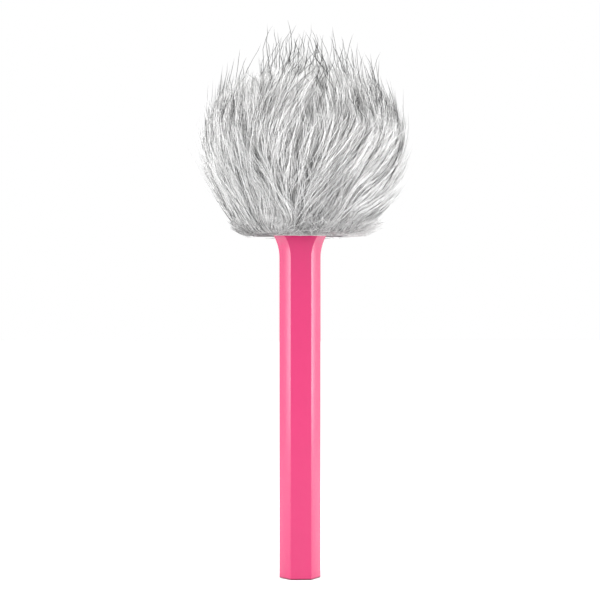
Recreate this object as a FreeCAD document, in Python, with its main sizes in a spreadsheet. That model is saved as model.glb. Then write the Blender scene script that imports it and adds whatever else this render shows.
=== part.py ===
"""Furry windscreen on a handheld adaptor for a small wireless microphone.

Three things stack on one upright axis: a hexagonal stick handle whose top flares into a wide
flat head, a clip-on transmitter with its own microphone standing in the dock of that head, and
a furry windscreen that slips over the transmitter and grips the head.

Frame: +Z up, origin at the centre of the handle's bottom face, front face towards -Y.
Units: millimetres.
"""
import FreeCAD, Part
import Sketcher
import math
import os
import re

doc = FreeCAD.newDocument("furry_windscreen")

# Driving dimensions. Heights named *_level are measured from the handle's bottom face.
SIZES = {
    # handle
    "across_flats": 19.0,          # hexagonal grip, flat to flat, front to back
    "grip_length": 170.6,          # straight part of the grip
    "flare_height": 20.4,          # from the end of the straight part to the full width
    "flare_outline_radius": 23.5,  # concave arc of the side corners
    "flare_face_radius": 21.5,     # concave arc of the front face's edges
    "band_height": 4.0,            # upright band at the top of the head
    "bore_across_flats": 14.4,     # hollow of the grip
    "rim_round": 0.8,              # bottom edge of the grip
    "edge_round": 0.35,            # long edges of the grip
    "fit_gap": 0.05,               # one-sided gap of parts that are glued or pushed together
    "slide_gap": 0.06,             # one-sided running gap of parts that slide
    "cap_length": 12.0,
    "cap_recess": 0.3,
    "insert_radius": 4.0,
    "insert_length": 9.5,
    "thread_radius": 2.55,         # quarter inch, 20 threads per inch, at the crests
    # dock in the head
    "recess_half_width": 18.4,
    "recess_half_depth": 7.3,
    "recess_depth": 4.5,
    "recess_corner": 2.0,
    "plug_radius": 6.9,
    "plug_length": 7.0,
    "dock_screw_spread": 13.0,     # each side of the axis
    "dock_screw_length": 5.5,      # below the dock plate
    "dock_screw_radius": 1.0,
    "dock_head_radius": 2.1,
    "dock_head_height": 1.6,
    "dock_slot_half_length": 1.26,
    "dock_slot_half_width": 0.32,
    "dock_slot_depth": 0.96,
    "tongue_half_width": 8.0,
    "tongue_front": 4.5,
    "tongue_back": 6.7,
    "tongue_height": 12.0,
    "tongue_round": 1.0,
    "pad_height": 0.6,
    "pad_half_width": 16.0,
    "pad_front": 6.4,
    "pad_back": 3.6,
    # transmitter
    "tx_half_width": 21.0,
    "tx_height": 44.0,
    "tx_front": 8.8,               # front face, ahead of the axis
    "tx_split": 4.8,               # joint of the two housings, ahead of the axis
    "tx_back": 4.2,                # rear face, behind the axis
    "tx_wall": 1.4,
    "tx_corner": 5.0,
    "tx_edge": 1.2,
    "boss_radius": 2.2,
    "boss_spread": 16.8,
    "boss_inset": 5.2,
    "tx_screw_radius": 0.9,
    "tx_screw_hole": 1.0,
    "tx_screw_head": 1.7,
    "tx_screw_head_height": 1.2,
    "tx_screw_tip_gap": 0.2,       # left under the screw's tip
    "board_back": 2.4,             # rear face of the circuit board, ahead of the axis
    "board_thickness": 1.0,
    "board_half_width": 13.8,
    "board_half_shoulder": 18.6,
    "board_inset": 2.2,
    "shoulder_inset": 8.4,
    "cell_half_width": 13.0,
    "cell_thickness": 3.6,
    "cell_height": 28.0,
    "cell_inset": 6.0,
    "mic_offset": 8.0,
    "port_axis_depth": 0.2,        # behind the handle's axis
    "mesh_radius": 2.35,
    "mesh_thickness": 0.3,
    "mesh_inset": 0.15,            # below the top face
    "capsule_radius": 1.9,
    "capsule_height": 2.8,
    "boot_radius": 2.5,
    "boot_height": 3.6,
    "jack_offset": 10.0,
    "jack_radius": 2.35,
    "jack_hole": 1.75,
    "jack_length": 12.0,
    "usb_half_height": 4.5,
    "usb_half_depth": 1.6,
    "usb_length": 7.2,
    "usb_level": 14.0,             # above the transmitter's foot
    "usb_wall": 0.3,
    "usb_round": 1.5,
    "usb_back_wall": 1.0,
    "usb_tongue_half_height": 3.15,
    "usb_tongue_inset": 1.0,       # of the tongue's tip, from the side wall's face
    "power_level": 27.0,
    "power_half_height": 4.5,
    "power_half_depth": 1.6,
    "power_round": 1.5,
    "power_proud": 0.5,
    "pair_level": 14.0,
    "pair_radius": 1.6,
    "pair_proud": 0.4,
    "button_flange": 0.5,
    "button_flange_thickness": 1.0,
    "button_clearance": 0.1,       # from the flange to the inside of the wall
    "button_travel": 0.4,
    "switch_size": 3.0,
    "switch_length": 2.4,
    "plunger_radius": 0.75,
    "plunger_length": 0.6,
    "plunger_proud": 0.5,
    "can_half_width": 6.0,
    "can_height": 11.0,
    "can_thickness": 1.6,
    "can_level": 19.0,
    "antenna_half_width": 4.0,
    "antenna_height": 2.0,
    "antenna_thickness": 0.9,
    "antenna_level": 36.5,
    "light_half_width": 3.2,
    "light_radius": 0.7,
    "light_level": 37.5,
    "light_lip": 0.4,              # behind the inside of the wall
    "clip_half_width": 7.0,
    "clip_front": 7.0,
    "clip_back": 8.8,
    "clip_foot": 5.0,              # clip's lower end above the transmitter's foot
    "clip_bridge_level": 35.0,
    "clip_bridge_height": 4.0,
    "clip_round": 0.8,
    # windscreen
    "liner_thickness": 1.2,
    "liner_foot_level": 188.0,
    "liner_height": 8.0,
    "mouth_corner": 2.0,
    "collar_thickness": 1.6,
    "collar_height": 13.5,
    "flange_level": 183.5,
    "flange_thickness": 2.0,
    "foam_foot_radius": 28.0,
    "foam_radius": 34.0,
    "foam_waist_level": 206.0,
    "foam_shoulder_level": 234.0,
    "foam_foot_arc": 38.0,
    "foam_top_arc": 24.0,
    "foam_bore_gap": 0.4,
    "headroom": 9.0,               # free bore above the transmitter
    "fur_foot_level": 182.0,
    "fur_foot_radius": 31.0,
    "fur_radius": 50.0,
    "fur_waist_level": 226.0,
    "fur_shoulder_level": 242.0,
    "fur_foot_arc": 60.4,
    "fur_top_arc": 38.0,
    "hem_width": 1.6,
    "hem_gap": 0.3,
    "cover_gap": 0.1,
}

sheet = doc.addObject("Spreadsheet::Sheet", "Sizes")
for row, (alias, size) in enumerate(SIZES.items(), start=1):
    sheet.set(f"A{row}", alias)
    sheet.set(f"B{row}", str(size))
    sheet.setAlias(f"B{row}", alias)
doc.recompute()

probe = doc.addObject("App::FeaturePython", "Probe")
probe.addProperty("App::PropertyFloat", "Reading")


def bound(text):
    """An expression on the sheet's cells: every alias in the text gets the sheet's name."""
    def name_the_sheet(word):
        return f"Sizes.{word[0]}" if word[0] in SIZES else word[0]
    return re.sub(r"[a-z_]+[a-z]", name_the_sheet, str(text))


def reading(text):
    """The present value of an expression, for choosing where a sketch or an edge starts."""
    probe.setExpression("Reading", bound(text))
    probe.recompute()
    return probe.Reading


# ---------------------------------------------------------------- levels worked out from the sizes
ARC_TOP = "(grip_length + flare_height)"
HEAD_TOP = "(grip_length + flare_height + band_height)"
HEX_CORNER = "(across_flats / sqrt(3))"
HEAD_HALF_WIDTH = ("(across_flats / sqrt(3) + flare_outline_radius"
                   " - sqrt(flare_outline_radius ^ 2 - flare_height ^ 2))")
HEAD_HALF_DEPTH = "(across_flats / 2)"
TX_FOOT = "(grip_length + flare_height + band_height + pad_height)"
TX_TOP = "(grip_length + flare_height + band_height + pad_height + tx_height)"
MOUTH_HALF_WIDTH = f"({HEAD_HALF_WIDTH} + slide_gap)"
MOUTH_HALF_DEPTH = f"({HEAD_HALF_DEPTH} + slide_gap)"
LINER_HALF_WIDTH = f"({MOUTH_HALF_WIDTH} + liner_thickness)"
LINER_HALF_DEPTH = f"({MOUTH_HALF_DEPTH} + liner_thickness)"
COLLAR_HALF_WIDTH = f"({LINER_HALF_WIDTH} + collar_thickness)"
COLLAR_HALF_DEPTH = f"({LINER_HALF_DEPTH} + collar_thickness)"
FOAM_FOOT = "(flange_level + flange_thickness)"
BUTTON_TIP = "(tx_half_width - tx_wall - button_clearance)"


# ---------------------------------------------------------------- part design helpers
def new_body(name):
    body = doc.addObject("PartDesign::Body", name)
    body.Label = name
    return body


def origin_plane(body, role):
    return next(item for item in body.Origin.OriginFeatures if item.Role == role)


def arc_between(first, last, radius, turn):
    """The arc of a radius from first to last, turning left (1) or right (-1) on the way."""
    chord = last - first
    middle = (first + last) / 2
    reach = math.sqrt(max(radius ** 2 - (chord.Length / 2) ** 2, 0.0))
    across = FreeCAD.Vector(-chord.y, chord.x, 0).normalize()
    centre = middle + across * reach * turn
    outward = (middle - centre)
    if outward.Length < 1e-6:
        outward = -across * turn
    crown = centre + outward.normalize() * radius
    return Part.Arc(first, crown, last)


def outline(body, name, role, level, corners, arcs=None):
    """A closed sketch through corners given as expressions; arcs maps a side to (radius, turn).

    The order of sides is the order of corners, and each corner and radius is bound to the sheet.
    """
    arcs = arcs or {}
    sketch = body.newObject("Sketcher::SketchObject", name)
    sketch.AttachmentSupport = [(origin_plane(body, role), "")]
    sketch.MapMode = "FlatFace"
    sketch.setExpression("AttachmentOffset.Base.z", bound(level))
    places = [FreeCAD.Vector(reading(across), reading(along), 0) for across, along in corners]
    count = len(corners)
    for side in range(count):
        first = places[side]
        last = places[(side + 1) % count]
        if side in arcs:
            radius, turn = arcs[side]
            sketch.addGeometry(arc_between(first, last, reading(radius), turn), False)
        else:
            sketch.addGeometry(Part.LineSegment(first, last), False)
    ends = []
    for side in range(count):
        curve = sketch.Geometry[side]
        forward = curve.StartPoint.distanceToPoint(places[side]) < 1e-4
        ends.append((1, 2) if forward else (2, 1))
    for side in range(count):
        following = (side + 1) % count
        sketch.addConstraint(Sketcher.Constraint("Coincident", side, ends[side][1],
                                                 following, ends[following][0]))
    for side, (across, along) in enumerate(corners):
        start = ends[side][0]
        for kind, text, value in (("DistanceX", across, places[side].x),
                                  ("DistanceY", along, places[side].y)):
            index = sketch.addConstraint(Sketcher.Constraint(kind, -1, 1, side, start, value))
            sketch.setExpression(f"Constraints[{index}]", bound(text))
    for side, (radius, turn) in arcs.items():
        index = sketch.addConstraint(Sketcher.Constraint("Radius", side, reading(radius)))
        sketch.setExpression(f"Constraints[{index}]", bound(radius))
    return sketch


def hexagon(body, name, level, corner_half, face_half, depth_half):
    """A hexagon with two corners on the X axis and two flat faces towards -Y and +Y."""
    corners = [(corner_half, "0"), (face_half, depth_half), (f"-{face_half}", depth_half),
               (f"-{corner_half}", "0"), (f"-{face_half}", f"-{depth_half}"),
               (face_half, f"-{depth_half}")]
    return outline(body, name, "XY_Plane", level, corners)


def slot(body, name, level, half_width, half_depth, corner):
    """A rectangle with rounded corners, centred on the axis."""
    inner_w = f"({half_width} - {corner})"
    inner_d = f"({half_depth} - {corner})"
    corners = [(inner_w, f"-{half_depth}"), (half_width, f"-{inner_d}"),
               (half_width, inner_d), (inner_w, half_depth),
               (f"-{inner_w}", half_depth), (f"-{half_width}", inner_d),
               (f"-{half_width}", f"-{inner_d}"), (f"-{inner_w}", f"-{half_depth}")]
    arcs = {side: (corner, 1) for side in (0, 2, 4, 6)}
    return outline(body, name, "XY_Plane", level, corners, arcs)


def circle(body, name, level, radius, across="0", along="0"):
    sketch = body.newObject("Sketcher::SketchObject", name)
    sketch.AttachmentSupport = [(origin_plane(body, "XY_Plane"), "")]
    sketch.MapMode = "FlatFace"
    sketch.setExpression("AttachmentOffset.Base.z", bound(level))
    middle = FreeCAD.Vector(reading(across), reading(along), 0)
    sketch.addGeometry(Part.Circle(middle, FreeCAD.Vector(0, 0, 1), reading(radius)), False)
    sketch.addConstraint(Sketcher.Constraint("Radius", 0, reading(radius)))
    sketch.setExpression("Constraints[0]", bound(radius))
    for number, (kind, text, value) in enumerate((("DistanceX", across, middle.x),
                                                  ("DistanceY", along, middle.y)), start=1):
        sketch.addConstraint(Sketcher.Constraint(kind, -1, 1, 0, 3, value))
        sketch.setExpression(f"Constraints[{number}]", bound(text))
    return sketch


def pad(body, sketch, length):
    """Material upwards from a level sketch."""
    feature = body.newObject("PartDesign::Pad", f"{sketch.Name}_pad")
    feature.Profile = sketch
    feature.setExpression("Length", bound(length))
    doc.recompute()
    return feature


def pocket(body, sketch, length):
    """A cut upwards from a level sketch; it has to remove something."""
    before = body.Shape.Volume
    feature = body.newObject("PartDesign::Pocket", f"{sketch.Name}_cut")
    feature.Profile = sketch
    feature.Reversed = True
    feature.setExpression("Length", bound(length))
    doc.recompute()
    if body.Shape.Volume >= before:
        raise RuntimeError(f"{feature.Name} cuts nothing")
    return feature


def turned(body, sketch, kind="PartDesign::Revolution"):
    """A full turn of an upright profile about the axis."""
    feature = body.newObject(kind, f"{sketch.Name}_turned")
    feature.Profile = sketch
    feature.ReferenceAxis = (sketch, ["V_Axis"])
    feature.Angle = 360.0
    doc.recompute()
    return feature


def dress(body, kind, name, size_name, size, wanted):
    """A fillet or chamfer on the edges of the body's tip that the test wants."""
    doc.recompute()
    base = body.Tip
    edges = [f"Edge{number}" for number, edge in enumerate(base.Shape.Edges, start=1) if wanted(edge)]
    if not edges:
        raise RuntimeError(f"{name} finds no edges")
    feature = body.newObject(kind, name)
    feature.Base = (base, edges)
    feature.setExpression(size_name, bound(size))
    doc.recompute()
    return feature


# ---------------------------------------------------------------- part helpers
def box(name, low, high):
    """A box between two corners given as expressions."""
    solid = doc.addObject("Part::Box", name)
    for axis, side, start, stop in zip("xyz", ("Length", "Width", "Height"), low, high):
        solid.setExpression(side, bound(f"({stop}) - ({start})"))
        solid.setExpression(f"Placement.Base.{axis}", bound(start))
    return solid


AXIS_TURNS = {
    "x": FreeCAD.Rotation(FreeCAD.Vector(0, 1, 0), 90),
    "y": FreeCAD.Rotation(FreeCAD.Vector(1, 0, 0), -90),
    "z": FreeCAD.Rotation(),
}


def rod(name, radius, start, length, axis="z"):
    """A cylinder from a start point along +X, +Y or +Z."""
    solid = doc.addObject("Part::Cylinder", name)
    solid.Placement = FreeCAD.Placement(FreeCAD.Vector(), AXIS_TURNS[axis])
    solid.setExpression("Radius", bound(radius))
    solid.setExpression("Height", bound(length))
    for letter, text in zip("xyz", start):
        solid.setExpression(f"Placement.Base.{letter}", bound(text))
    return solid


def fused(name, *solids):
    result = doc.addObject("Part::MultiFuse", name)
    result.Shapes = list(solids)
    result.Refine = True
    doc.recompute()
    return result


def cut(name, base, *tools):
    """The base less the tools; it has to remove something."""
    tool = tools[0] if len(tools) == 1 else fused(f"{name}_tools", *tools)
    result = doc.addObject("Part::Cut", name)
    result.Base = base
    result.Tool = tool
    doc.recompute()
    if result.Shape.Volume >= base.Shape.Volume:
        raise RuntimeError(f"{name} cuts nothing")
    return result


def rounded(name, base, radius, wanted):
    """Rounds the edges that the test wants."""
    doc.recompute()
    size = reading(radius)
    numbers = [number for number, edge in enumerate(base.Shape.Edges, start=1) if wanted(edge)]
    if not numbers:
        raise RuntimeError(f"{name} finds no edges")
    result = doc.addObject("Part::Fillet", name)
    result.Base = base
    result.Edges = [(number, size, size) for number in numbers]
    doc.recompute()
    return result


def runs_along(axis):
    """Tests whether a straight edge is parallel to an axis."""
    direction = FreeCAD.Vector(*(float(letter == axis) for letter in "xyz"))

    def test(edge):
        if not isinstance(edge.Curve, Part.Line):
            return False
        return abs(abs(edge.tangentAt(edge.FirstParameter).dot(direction)) - 1) < 1e-6
    return test


def lies_at(axis, level):
    """Tests whether the whole edge lies at one level of an axis."""
    low = f"{axis.upper()}Min"
    high = f"{axis.upper()}Max"
    place = reading(level)

    def test(edge):
        edge_box = edge.BoundBox
        return abs(getattr(edge_box, low) - place) < 1e-3 and abs(getattr(edge_box, high) - place) < 1e-3
    return test


# ---------------------------------------------------------------- handle
FLARE_STEPS = 6


def handle_shell():
    """Hexagonal tube whose top flares sideways into the head, with a recess for the dock."""
    body = new_body("handle_shell")
    grip = hexagon(body, "grip_outline", "0", HEX_CORNER, f"({HEX_CORNER} / 2)", HEAD_HALF_DEPTH)
    pad(body, grip, "grip_length")
    sections = []
    for step in range(FLARE_STEPS + 1):
        rise = f"(flare_height * {step} / {FLARE_STEPS})"
        corner = f"({HEX_CORNER} + flare_outline_radius - sqrt(flare_outline_radius ^ 2 - {rise} ^ 2))"
        face = f"({HEX_CORNER} / 2 + flare_face_radius - sqrt(flare_face_radius ^ 2 - {rise} ^ 2))"
        sections.append(hexagon(body, f"flare_outline_{step}", f"grip_length + {rise}",
                                corner, face, HEAD_HALF_DEPTH))
    flare = body.newObject("PartDesign::AdditiveLoft", "flare")
    flare.Profile = sections[0]
    flare.Sections = [(section, "") for section in sections[1:]]
    doc.recompute()
    band = hexagon(body, "band_outline", ARC_TOP, corner, face, HEAD_HALF_DEPTH)
    pad(body, band, "band_height")
    dress(body, "PartDesign::Fillet", "bottom_round", "Radius", "rim_round", lies_at("z", "0"))
    dress(body, "PartDesign::Fillet", "top_round", "Radius", "edge_round", lies_at("z", HEAD_TOP))
    bore_corner = "(bore_across_flats / sqrt(3))"
    bore = hexagon(body, "bore_outline", "0", bore_corner, f"({bore_corner} / 2)",
                   "(bore_across_flats / 2)")
    pocket(body, bore, f"{HEAD_TOP} - recess_depth")
    recess = slot(body, "recess_outline", f"{HEAD_TOP} - recess_depth",
                  "recess_half_width", "recess_half_depth", "recess_corner")
    pocket(body, recess, "recess_depth")
    for side, sign in (("left", "-"), ("right", "")):
        hole = circle(body, f"{side}_screw_hole",
                      f"{HEAD_TOP} - recess_depth - dock_screw_length - fit_gap",
                      "dock_screw_radius + fit_gap", f"{sign}dock_screw_spread")
        pocket(body, hole, "dock_screw_length + fit_gap")
    return body


def end_cap():
    """Hexagonal plug in the open end of the grip, bored for the thread insert."""
    body = new_body("end_cap")
    corner = "((bore_across_flats / 2 - fit_gap) * 2 / sqrt(3))"
    plug = hexagon(body, "cap_outline", "cap_recess", corner, f"({corner} / 2)",
                   "(bore_across_flats / 2 - fit_gap)")
    pad(body, plug, "cap_length")
    dress(body, "PartDesign::Chamfer", "cap_lead", "Size", "edge_round",
          lies_at("z", "cap_recess + cap_length"))
    hole = circle(body, "cap_bore", "cap_recess", "insert_radius + fit_gap")
    pocket(body, hole, "insert_length + fit_gap")
    return body


def thread_insert():
    """Brass bush with the tripod thread's bore right through."""
    body = new_body("thread_insert")
    pad(body, circle(body, "insert_outline", "cap_recess", "insert_radius"), "insert_length")
    dress(body, "PartDesign::Chamfer", "insert_lead", "Size", "edge_round",
          lies_at("z", "cap_recess + insert_length"))
    pocket(body, circle(body, "insert_bore", "cap_recess", "thread_radius"), "insert_length")
    return body


def dock_insert():
    """Plate that closes the head, with a plug in the bore and a tongue for the transmitter's clip."""
    body = new_body("dock_insert")
    plate = slot(body, "plate_outline", f"{HEAD_TOP} - recess_depth", "(recess_half_width - fit_gap)",
                 "(recess_half_depth - fit_gap)", "(recess_corner - fit_gap)")
    pad(body, plate, "recess_depth")
    tongue_corners = [("-tongue_half_width", "tongue_front"), ("tongue_half_width", "tongue_front"),
                      ("tongue_half_width", "tongue_back"), ("-tongue_half_width", "tongue_back")]
    tongue = outline(body, "tongue_outline", "XY_Plane", HEAD_TOP, tongue_corners)
    pad(body, tongue, "tongue_height")
    top = reading(f"{HEAD_TOP} + tongue_height")

    def tongue_top_corner(edge):
        return runs_along("y")(edge) and abs(edge.BoundBox.ZMax - top) < 1e-3

    dress(body, "PartDesign::Fillet", "tongue_corners", "Radius", "tongue_round", tongue_top_corner)
    plug = circle(body, "plug_outline", f"{HEAD_TOP} - recess_depth - plug_length", "plug_radius")
    pad(body, plug, "plug_length")
    for side, sign in (("left", "-"), ("right", "")):
        through = circle(body, f"{side}_through", f"{HEAD_TOP} - recess_depth",
                         "dock_screw_radius + fit_gap", f"{sign}dock_screw_spread")
        pocket(body, through, "recess_depth")
        sink = circle(body, f"{side}_sink", f"{HEAD_TOP} - dock_head_height - fit_gap",
                      "dock_head_radius + fit_gap", f"{sign}dock_screw_spread")
        pocket(body, sink, "dock_head_height + fit_gap")
    return body


def cross_slot(name, centre, half_length, half_width, floor, mouth):
    """The two crossed boxes of a screw head's recess, cut from above between two levels."""
    across, along = centre
    first = box(f"{name}_first", (f"{across} - {half_length}", f"{along} - {half_width}", floor),
                (f"{across} + {half_length}", f"{along} + {half_width}", mouth))
    second = box(f"{name}_second", (f"{across} - {half_width}", f"{along} - {half_length}", floor),
                 (f"{across} + {half_width}", f"{along} + {half_length}", mouth))
    return first, second


def dock_screws():
    """Two screws that hold the dock plate down in the head."""
    screws = []
    for side, sign in (("left", "-"), ("right", "")):
        spot = f"{sign}dock_screw_spread"
        shank = rod(f"dock_{side}_shank", "dock_screw_radius",
                    (spot, "0", f"{HEAD_TOP} - recess_depth - dock_screw_length"),
                    "dock_screw_length + recess_depth - dock_head_height")
        head = rod(f"dock_{side}_head", "dock_head_radius", (spot, "0", f"{HEAD_TOP} - dock_head_height"),
                   "dock_head_height - fit_gap")
        whole = fused(f"dock_{side}_screw", shank, head)
        recess = cross_slot(f"dock_{side}_recess", (spot, "0"), "dock_slot_half_length",
                            "dock_slot_half_width", f"{HEAD_TOP} - dock_slot_depth", HEAD_TOP)
        screws.append(cut(f"dock_{side}_finished", whole, *recess))
    group = doc.addObject("Part::Compound", "dock_screws")
    group.Links = screws
    group.Label = "dock_screws"
    return group


def dock_pad():
    """Soft pad that the transmitter stands on."""
    plain = box("dock_pad_plain", ("-pad_half_width", "-pad_front", HEAD_TOP),
                ("pad_half_width", "pad_back", TX_FOOT))
    pad_solid = rounded("dock_pad_round", plain, "recess_corner", runs_along("z"))
    holes = [rod(f"dock_pad_{side}_hole", "dock_head_radius + fit_gap",
                 (f"{sign}dock_screw_spread", "0", HEAD_TOP), "pad_height")
             for side, sign in (("left", "-"), ("right", ""))]
    result = cut("dock_pad", pad_solid, *holes)
    result.Label = "dock_pad"
    return result


# ---------------------------------------------------------------- transmitter
BOSSES = [(side, level, f"{sign}boss_spread", height)
          for side, sign in (("left", "-"), ("right", ""))
          for level, height in (("low", f"{TX_FOOT} + boss_inset"), ("high", f"{TX_TOP} - boss_inset"))]


def housing_shell(name, front, back, open_front):
    """Half of the transmitter's case: a rounded tray open towards the joint of the two halves."""
    outer = box(f"{name}_outer", ("-tx_half_width", front, TX_FOOT), ("tx_half_width", back, TX_TOP))
    corners = rounded(f"{name}_corners", outer, "tx_corner", runs_along("y"))
    closed_face = back if open_front else front
    edged = rounded(f"{name}_edged", corners, "tx_edge", lies_at("y", closed_face))
    inner_front = front if open_front else f"{front} + tx_wall"
    inner_back = f"{back} - tx_wall" if open_front else back
    hollow = box(f"{name}_hollow",
                 ("-tx_half_width + tx_wall", inner_front, f"{TX_FOOT} + tx_wall"),
                 ("tx_half_width - tx_wall", inner_back, f"{TX_TOP} - tx_wall"))
    hollow_round = rounded(f"{name}_hollow_round", hollow, "tx_corner - tx_wall", runs_along("y"))
    return cut(f"{name}_tray", edged, hollow_round)


def tx_front_housing():
    tray = housing_shell("front_half", "-tx_front", "-tx_split", open_front=False)
    posts = [rod(f"front_post_{side}_{level}", "boss_radius", (spot, "-tx_front + tx_wall / 2", height),
                 "tx_front - tx_wall / 2 - tx_split", "y") for side, level, spot, height in BOSSES]
    whole = fused("front_half_posts", tray, *posts)
    holes = [rod(f"front_hole_{side}_{level}", "tx_screw_hole", (spot, "-tx_front + tx_wall", height),
                 "tx_front - tx_wall - tx_split", "y") for side, level, spot, height in BOSSES]
    window = light_window("front_window", "light_radius + fit_gap", "-tx_front", "tx_wall")
    result = cut("tx_front_housing", whole, *holes, window)
    result.Label = "tx_front_housing"
    return result


def light_window(name, radius, start, length):
    """The pill shape of the status light, running back from the front face."""
    level = f"{TX_FOOT} + light_level"
    ends = [rod(f"{name}_{side}", radius,
                (f"{sign}light_half_width + ({radius}) * {turn}", start, level), length, "y")
            for side, sign, turn in (("left", "-", 1), ("right", "", -1))]
    middle = box(f"{name}_middle", (f"-light_half_width + {radius}", start, f"{level} - ({radius})"),
                 (f"light_half_width - ({radius})", f"{start} + {length}", f"{level} + ({radius})"))
    return fused(name, middle, *ends)


def tx_light_pipe():
    pipe = light_window("tx_light_pipe", "light_radius", "-tx_front", "tx_wall + light_lip")
    pipe.Label = "tx_light_pipe"
    return pipe


def tx_rear_housing():
    tray = housing_shell("rear_half", "-tx_split", "tx_back", open_front=True)
    posts = [rod(f"rear_post_{side}_{level}", "boss_radius", (spot, "-tx_split", height),
                 "tx_split + tx_back - tx_wall / 2", "y") for side, level, spot, height in BOSSES]
    whole = fused("rear_half_posts", tray, *posts)
    tools = []
    for side, level, spot, height in BOSSES:
        tools.append(rod(f"rear_hole_{side}_{level}", "tx_screw_hole", (spot, "-tx_split", height),
                         "tx_split + tx_back", "y"))
        tools.append(rod(f"rear_sink_{side}_{level}", "tx_screw_head + fit_gap",
                         (spot, "tx_back - tx_screw_head_height - fit_gap", height),
                         "tx_screw_head_height + fit_gap", "y"))
    tools.append(rod("rear_mic_hole", "mesh_radius + fit_gap",
                     ("-mic_offset", "port_axis_depth", f"{TX_TOP} - tx_wall"), "tx_wall"))
    tools.append(rod("rear_jack_hole", "jack_radius + fit_gap",
                     ("jack_offset", "port_axis_depth", f"{TX_TOP} - tx_wall"), "tx_wall"))
    usb = f"{TX_FOOT} + usb_level"
    usb_plain = box("rear_usb_plain",
                    ("tx_half_width - tx_wall", "port_axis_depth - usb_half_depth - fit_gap",
                     f"{usb} - usb_half_height - fit_gap"),
                    ("tx_half_width", "port_axis_depth + usb_half_depth + fit_gap",
                     f"{usb} + usb_half_height + fit_gap"))
    tools.append(rounded("rear_usb_hole", usb_plain, "usb_round", runs_along("x")))
    power = f"{TX_FOOT} + power_level"
    power_plain = box("rear_power_plain",
                      ("-tx_half_width", "port_axis_depth - power_half_depth - slide_gap",
                       f"{power} - power_half_height - slide_gap"),
                      ("-tx_half_width + tx_wall", "port_axis_depth + power_half_depth + slide_gap",
                       f"{power} + power_half_height + slide_gap"))
    tools.append(rounded("rear_power_hole", power_plain, "power_round", runs_along("x")))
    tools.append(rod("rear_pair_hole", "pair_radius + slide_gap",
                     ("-tx_half_width", "port_axis_depth", f"{TX_FOOT} + pair_level"), "tx_wall", "x"))
    result = cut("tx_rear_housing", whole, *tools)
    result.Label = "tx_rear_housing"
    return result


def tx_power_button():
    """Pill-shaped key in the left side wall, with a flange that keeps it in."""
    level = f"{TX_FOOT} + power_level"
    key_plain = box("power_key_plain",
                    ("-tx_half_width - power_proud", "port_axis_depth - power_half_depth",
                     f"{level} - power_half_height"),
                    (f"-{BUTTON_TIP} + button_clearance", "port_axis_depth + power_half_depth",
                     f"{level} + power_half_height"))
    key = rounded("power_key", key_plain, "power_round", runs_along("x"))
    flange = box("power_flange",
                 (f"-{BUTTON_TIP}", "port_axis_depth - power_half_depth - button_flange",
                  f"{level} - power_half_height - button_flange"),
                 (f"-{BUTTON_TIP} + button_flange_thickness",
                  "port_axis_depth + power_half_depth + button_flange",
                  f"{level} + power_half_height + button_flange"))
    button = fused("tx_power_button", key, flange)
    button.Label = "tx_power_button"
    return button


def tx_pair_button():
    """Small round key below the power key."""
    level = f"{TX_FOOT} + pair_level"
    key = rod("pair_key", "pair_radius", ("-tx_half_width - pair_proud", "port_axis_depth", level),
              f"pair_proud + tx_half_width - {BUTTON_TIP} + button_clearance", "x")
    flange = rod("pair_flange", "pair_radius + button_flange",
                 (f"-{BUTTON_TIP}", "port_axis_depth", level), "button_flange_thickness", "x")
    button = fused("tx_pair_button", key, flange)
    button.Label = "tx_pair_button"
    return button


def tx_switches():
    """One tactile switch behind each key, soldered to the board."""
    start = f"-{BUTTON_TIP} + button_flange_thickness + button_travel + fit_gap"
    switches = []
    for name, level in (("power", "power_level"), ("pair", "pair_level")):
        centre = f"{TX_FOOT} + {level}"
        case = box(f"{name}_switch_case",
                   (f"{start} + plunger_proud", "-board_back", f"{centre} - switch_size / 2"),
                   (f"{start} + switch_length", "port_axis_depth + switch_size / 2",
                    f"{centre} + switch_size / 2"))
        plunger = rod(f"{name}_plunger", "plunger_radius", (start, "port_axis_depth", centre),
                      "plunger_length", "x")
        switches.append(fused(f"{name}_switch", case, plunger))
    group = doc.addObject("Part::Compound", "tx_switches")
    group.Links = switches
    group.Label = "tx_switches"
    return group


def tx_circuit_board():
    """Board with wide shoulders between the screw posts."""
    front = "-board_back - board_thickness"
    spine = box("board_spine", ("-board_half_width", front, f"{TX_FOOT} + board_inset"),
                ("board_half_width", "-board_back", f"{TX_TOP} - board_inset"))
    shoulders = box("board_shoulders", ("-board_half_shoulder", front, f"{TX_FOOT} + shoulder_inset"),
                    ("board_half_shoulder", "-board_back", f"{TX_TOP} - shoulder_inset"))
    board = fused("tx_circuit_board", spine, shoulders)
    board.Label = "tx_circuit_board"
    return board


def tx_battery():
    back = "-board_back - board_thickness - fit_gap * 2"
    plain = box("cell_plain", ("-cell_half_width", f"{back} - cell_thickness", f"{TX_FOOT} + cell_inset"),
                ("cell_half_width", back, f"{TX_FOOT} + cell_inset + cell_height"))
    cell = rounded("tx_battery", plain, "tx_edge", runs_along("x"))
    cell.Label = "tx_battery"
    return cell


def on_board(name, low_x, high_x, level, height, thickness):
    """A low block soldered to the rear face of the board."""
    return box(name, (low_x, "-board_back", f"{TX_FOOT} + {level}"),
               (high_x, f"-board_back + {thickness}", f"{TX_FOOT} + {level} + {height}"))


def tx_radio_can():
    can = rounded("tx_radio_can", on_board("can_plain", "-can_half_width", "can_half_width", "can_level",
                                           "can_height", "can_thickness"), "edge_round", runs_along("y"))
    can.Label = "tx_radio_can"
    return can


def tx_antenna():
    antenna = on_board("tx_antenna", "-antenna_half_width", "antenna_half_width", "antenna_level",
                       "antenna_height", "antenna_thickness")
    antenna.Label = "tx_antenna"
    return antenna


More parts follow.
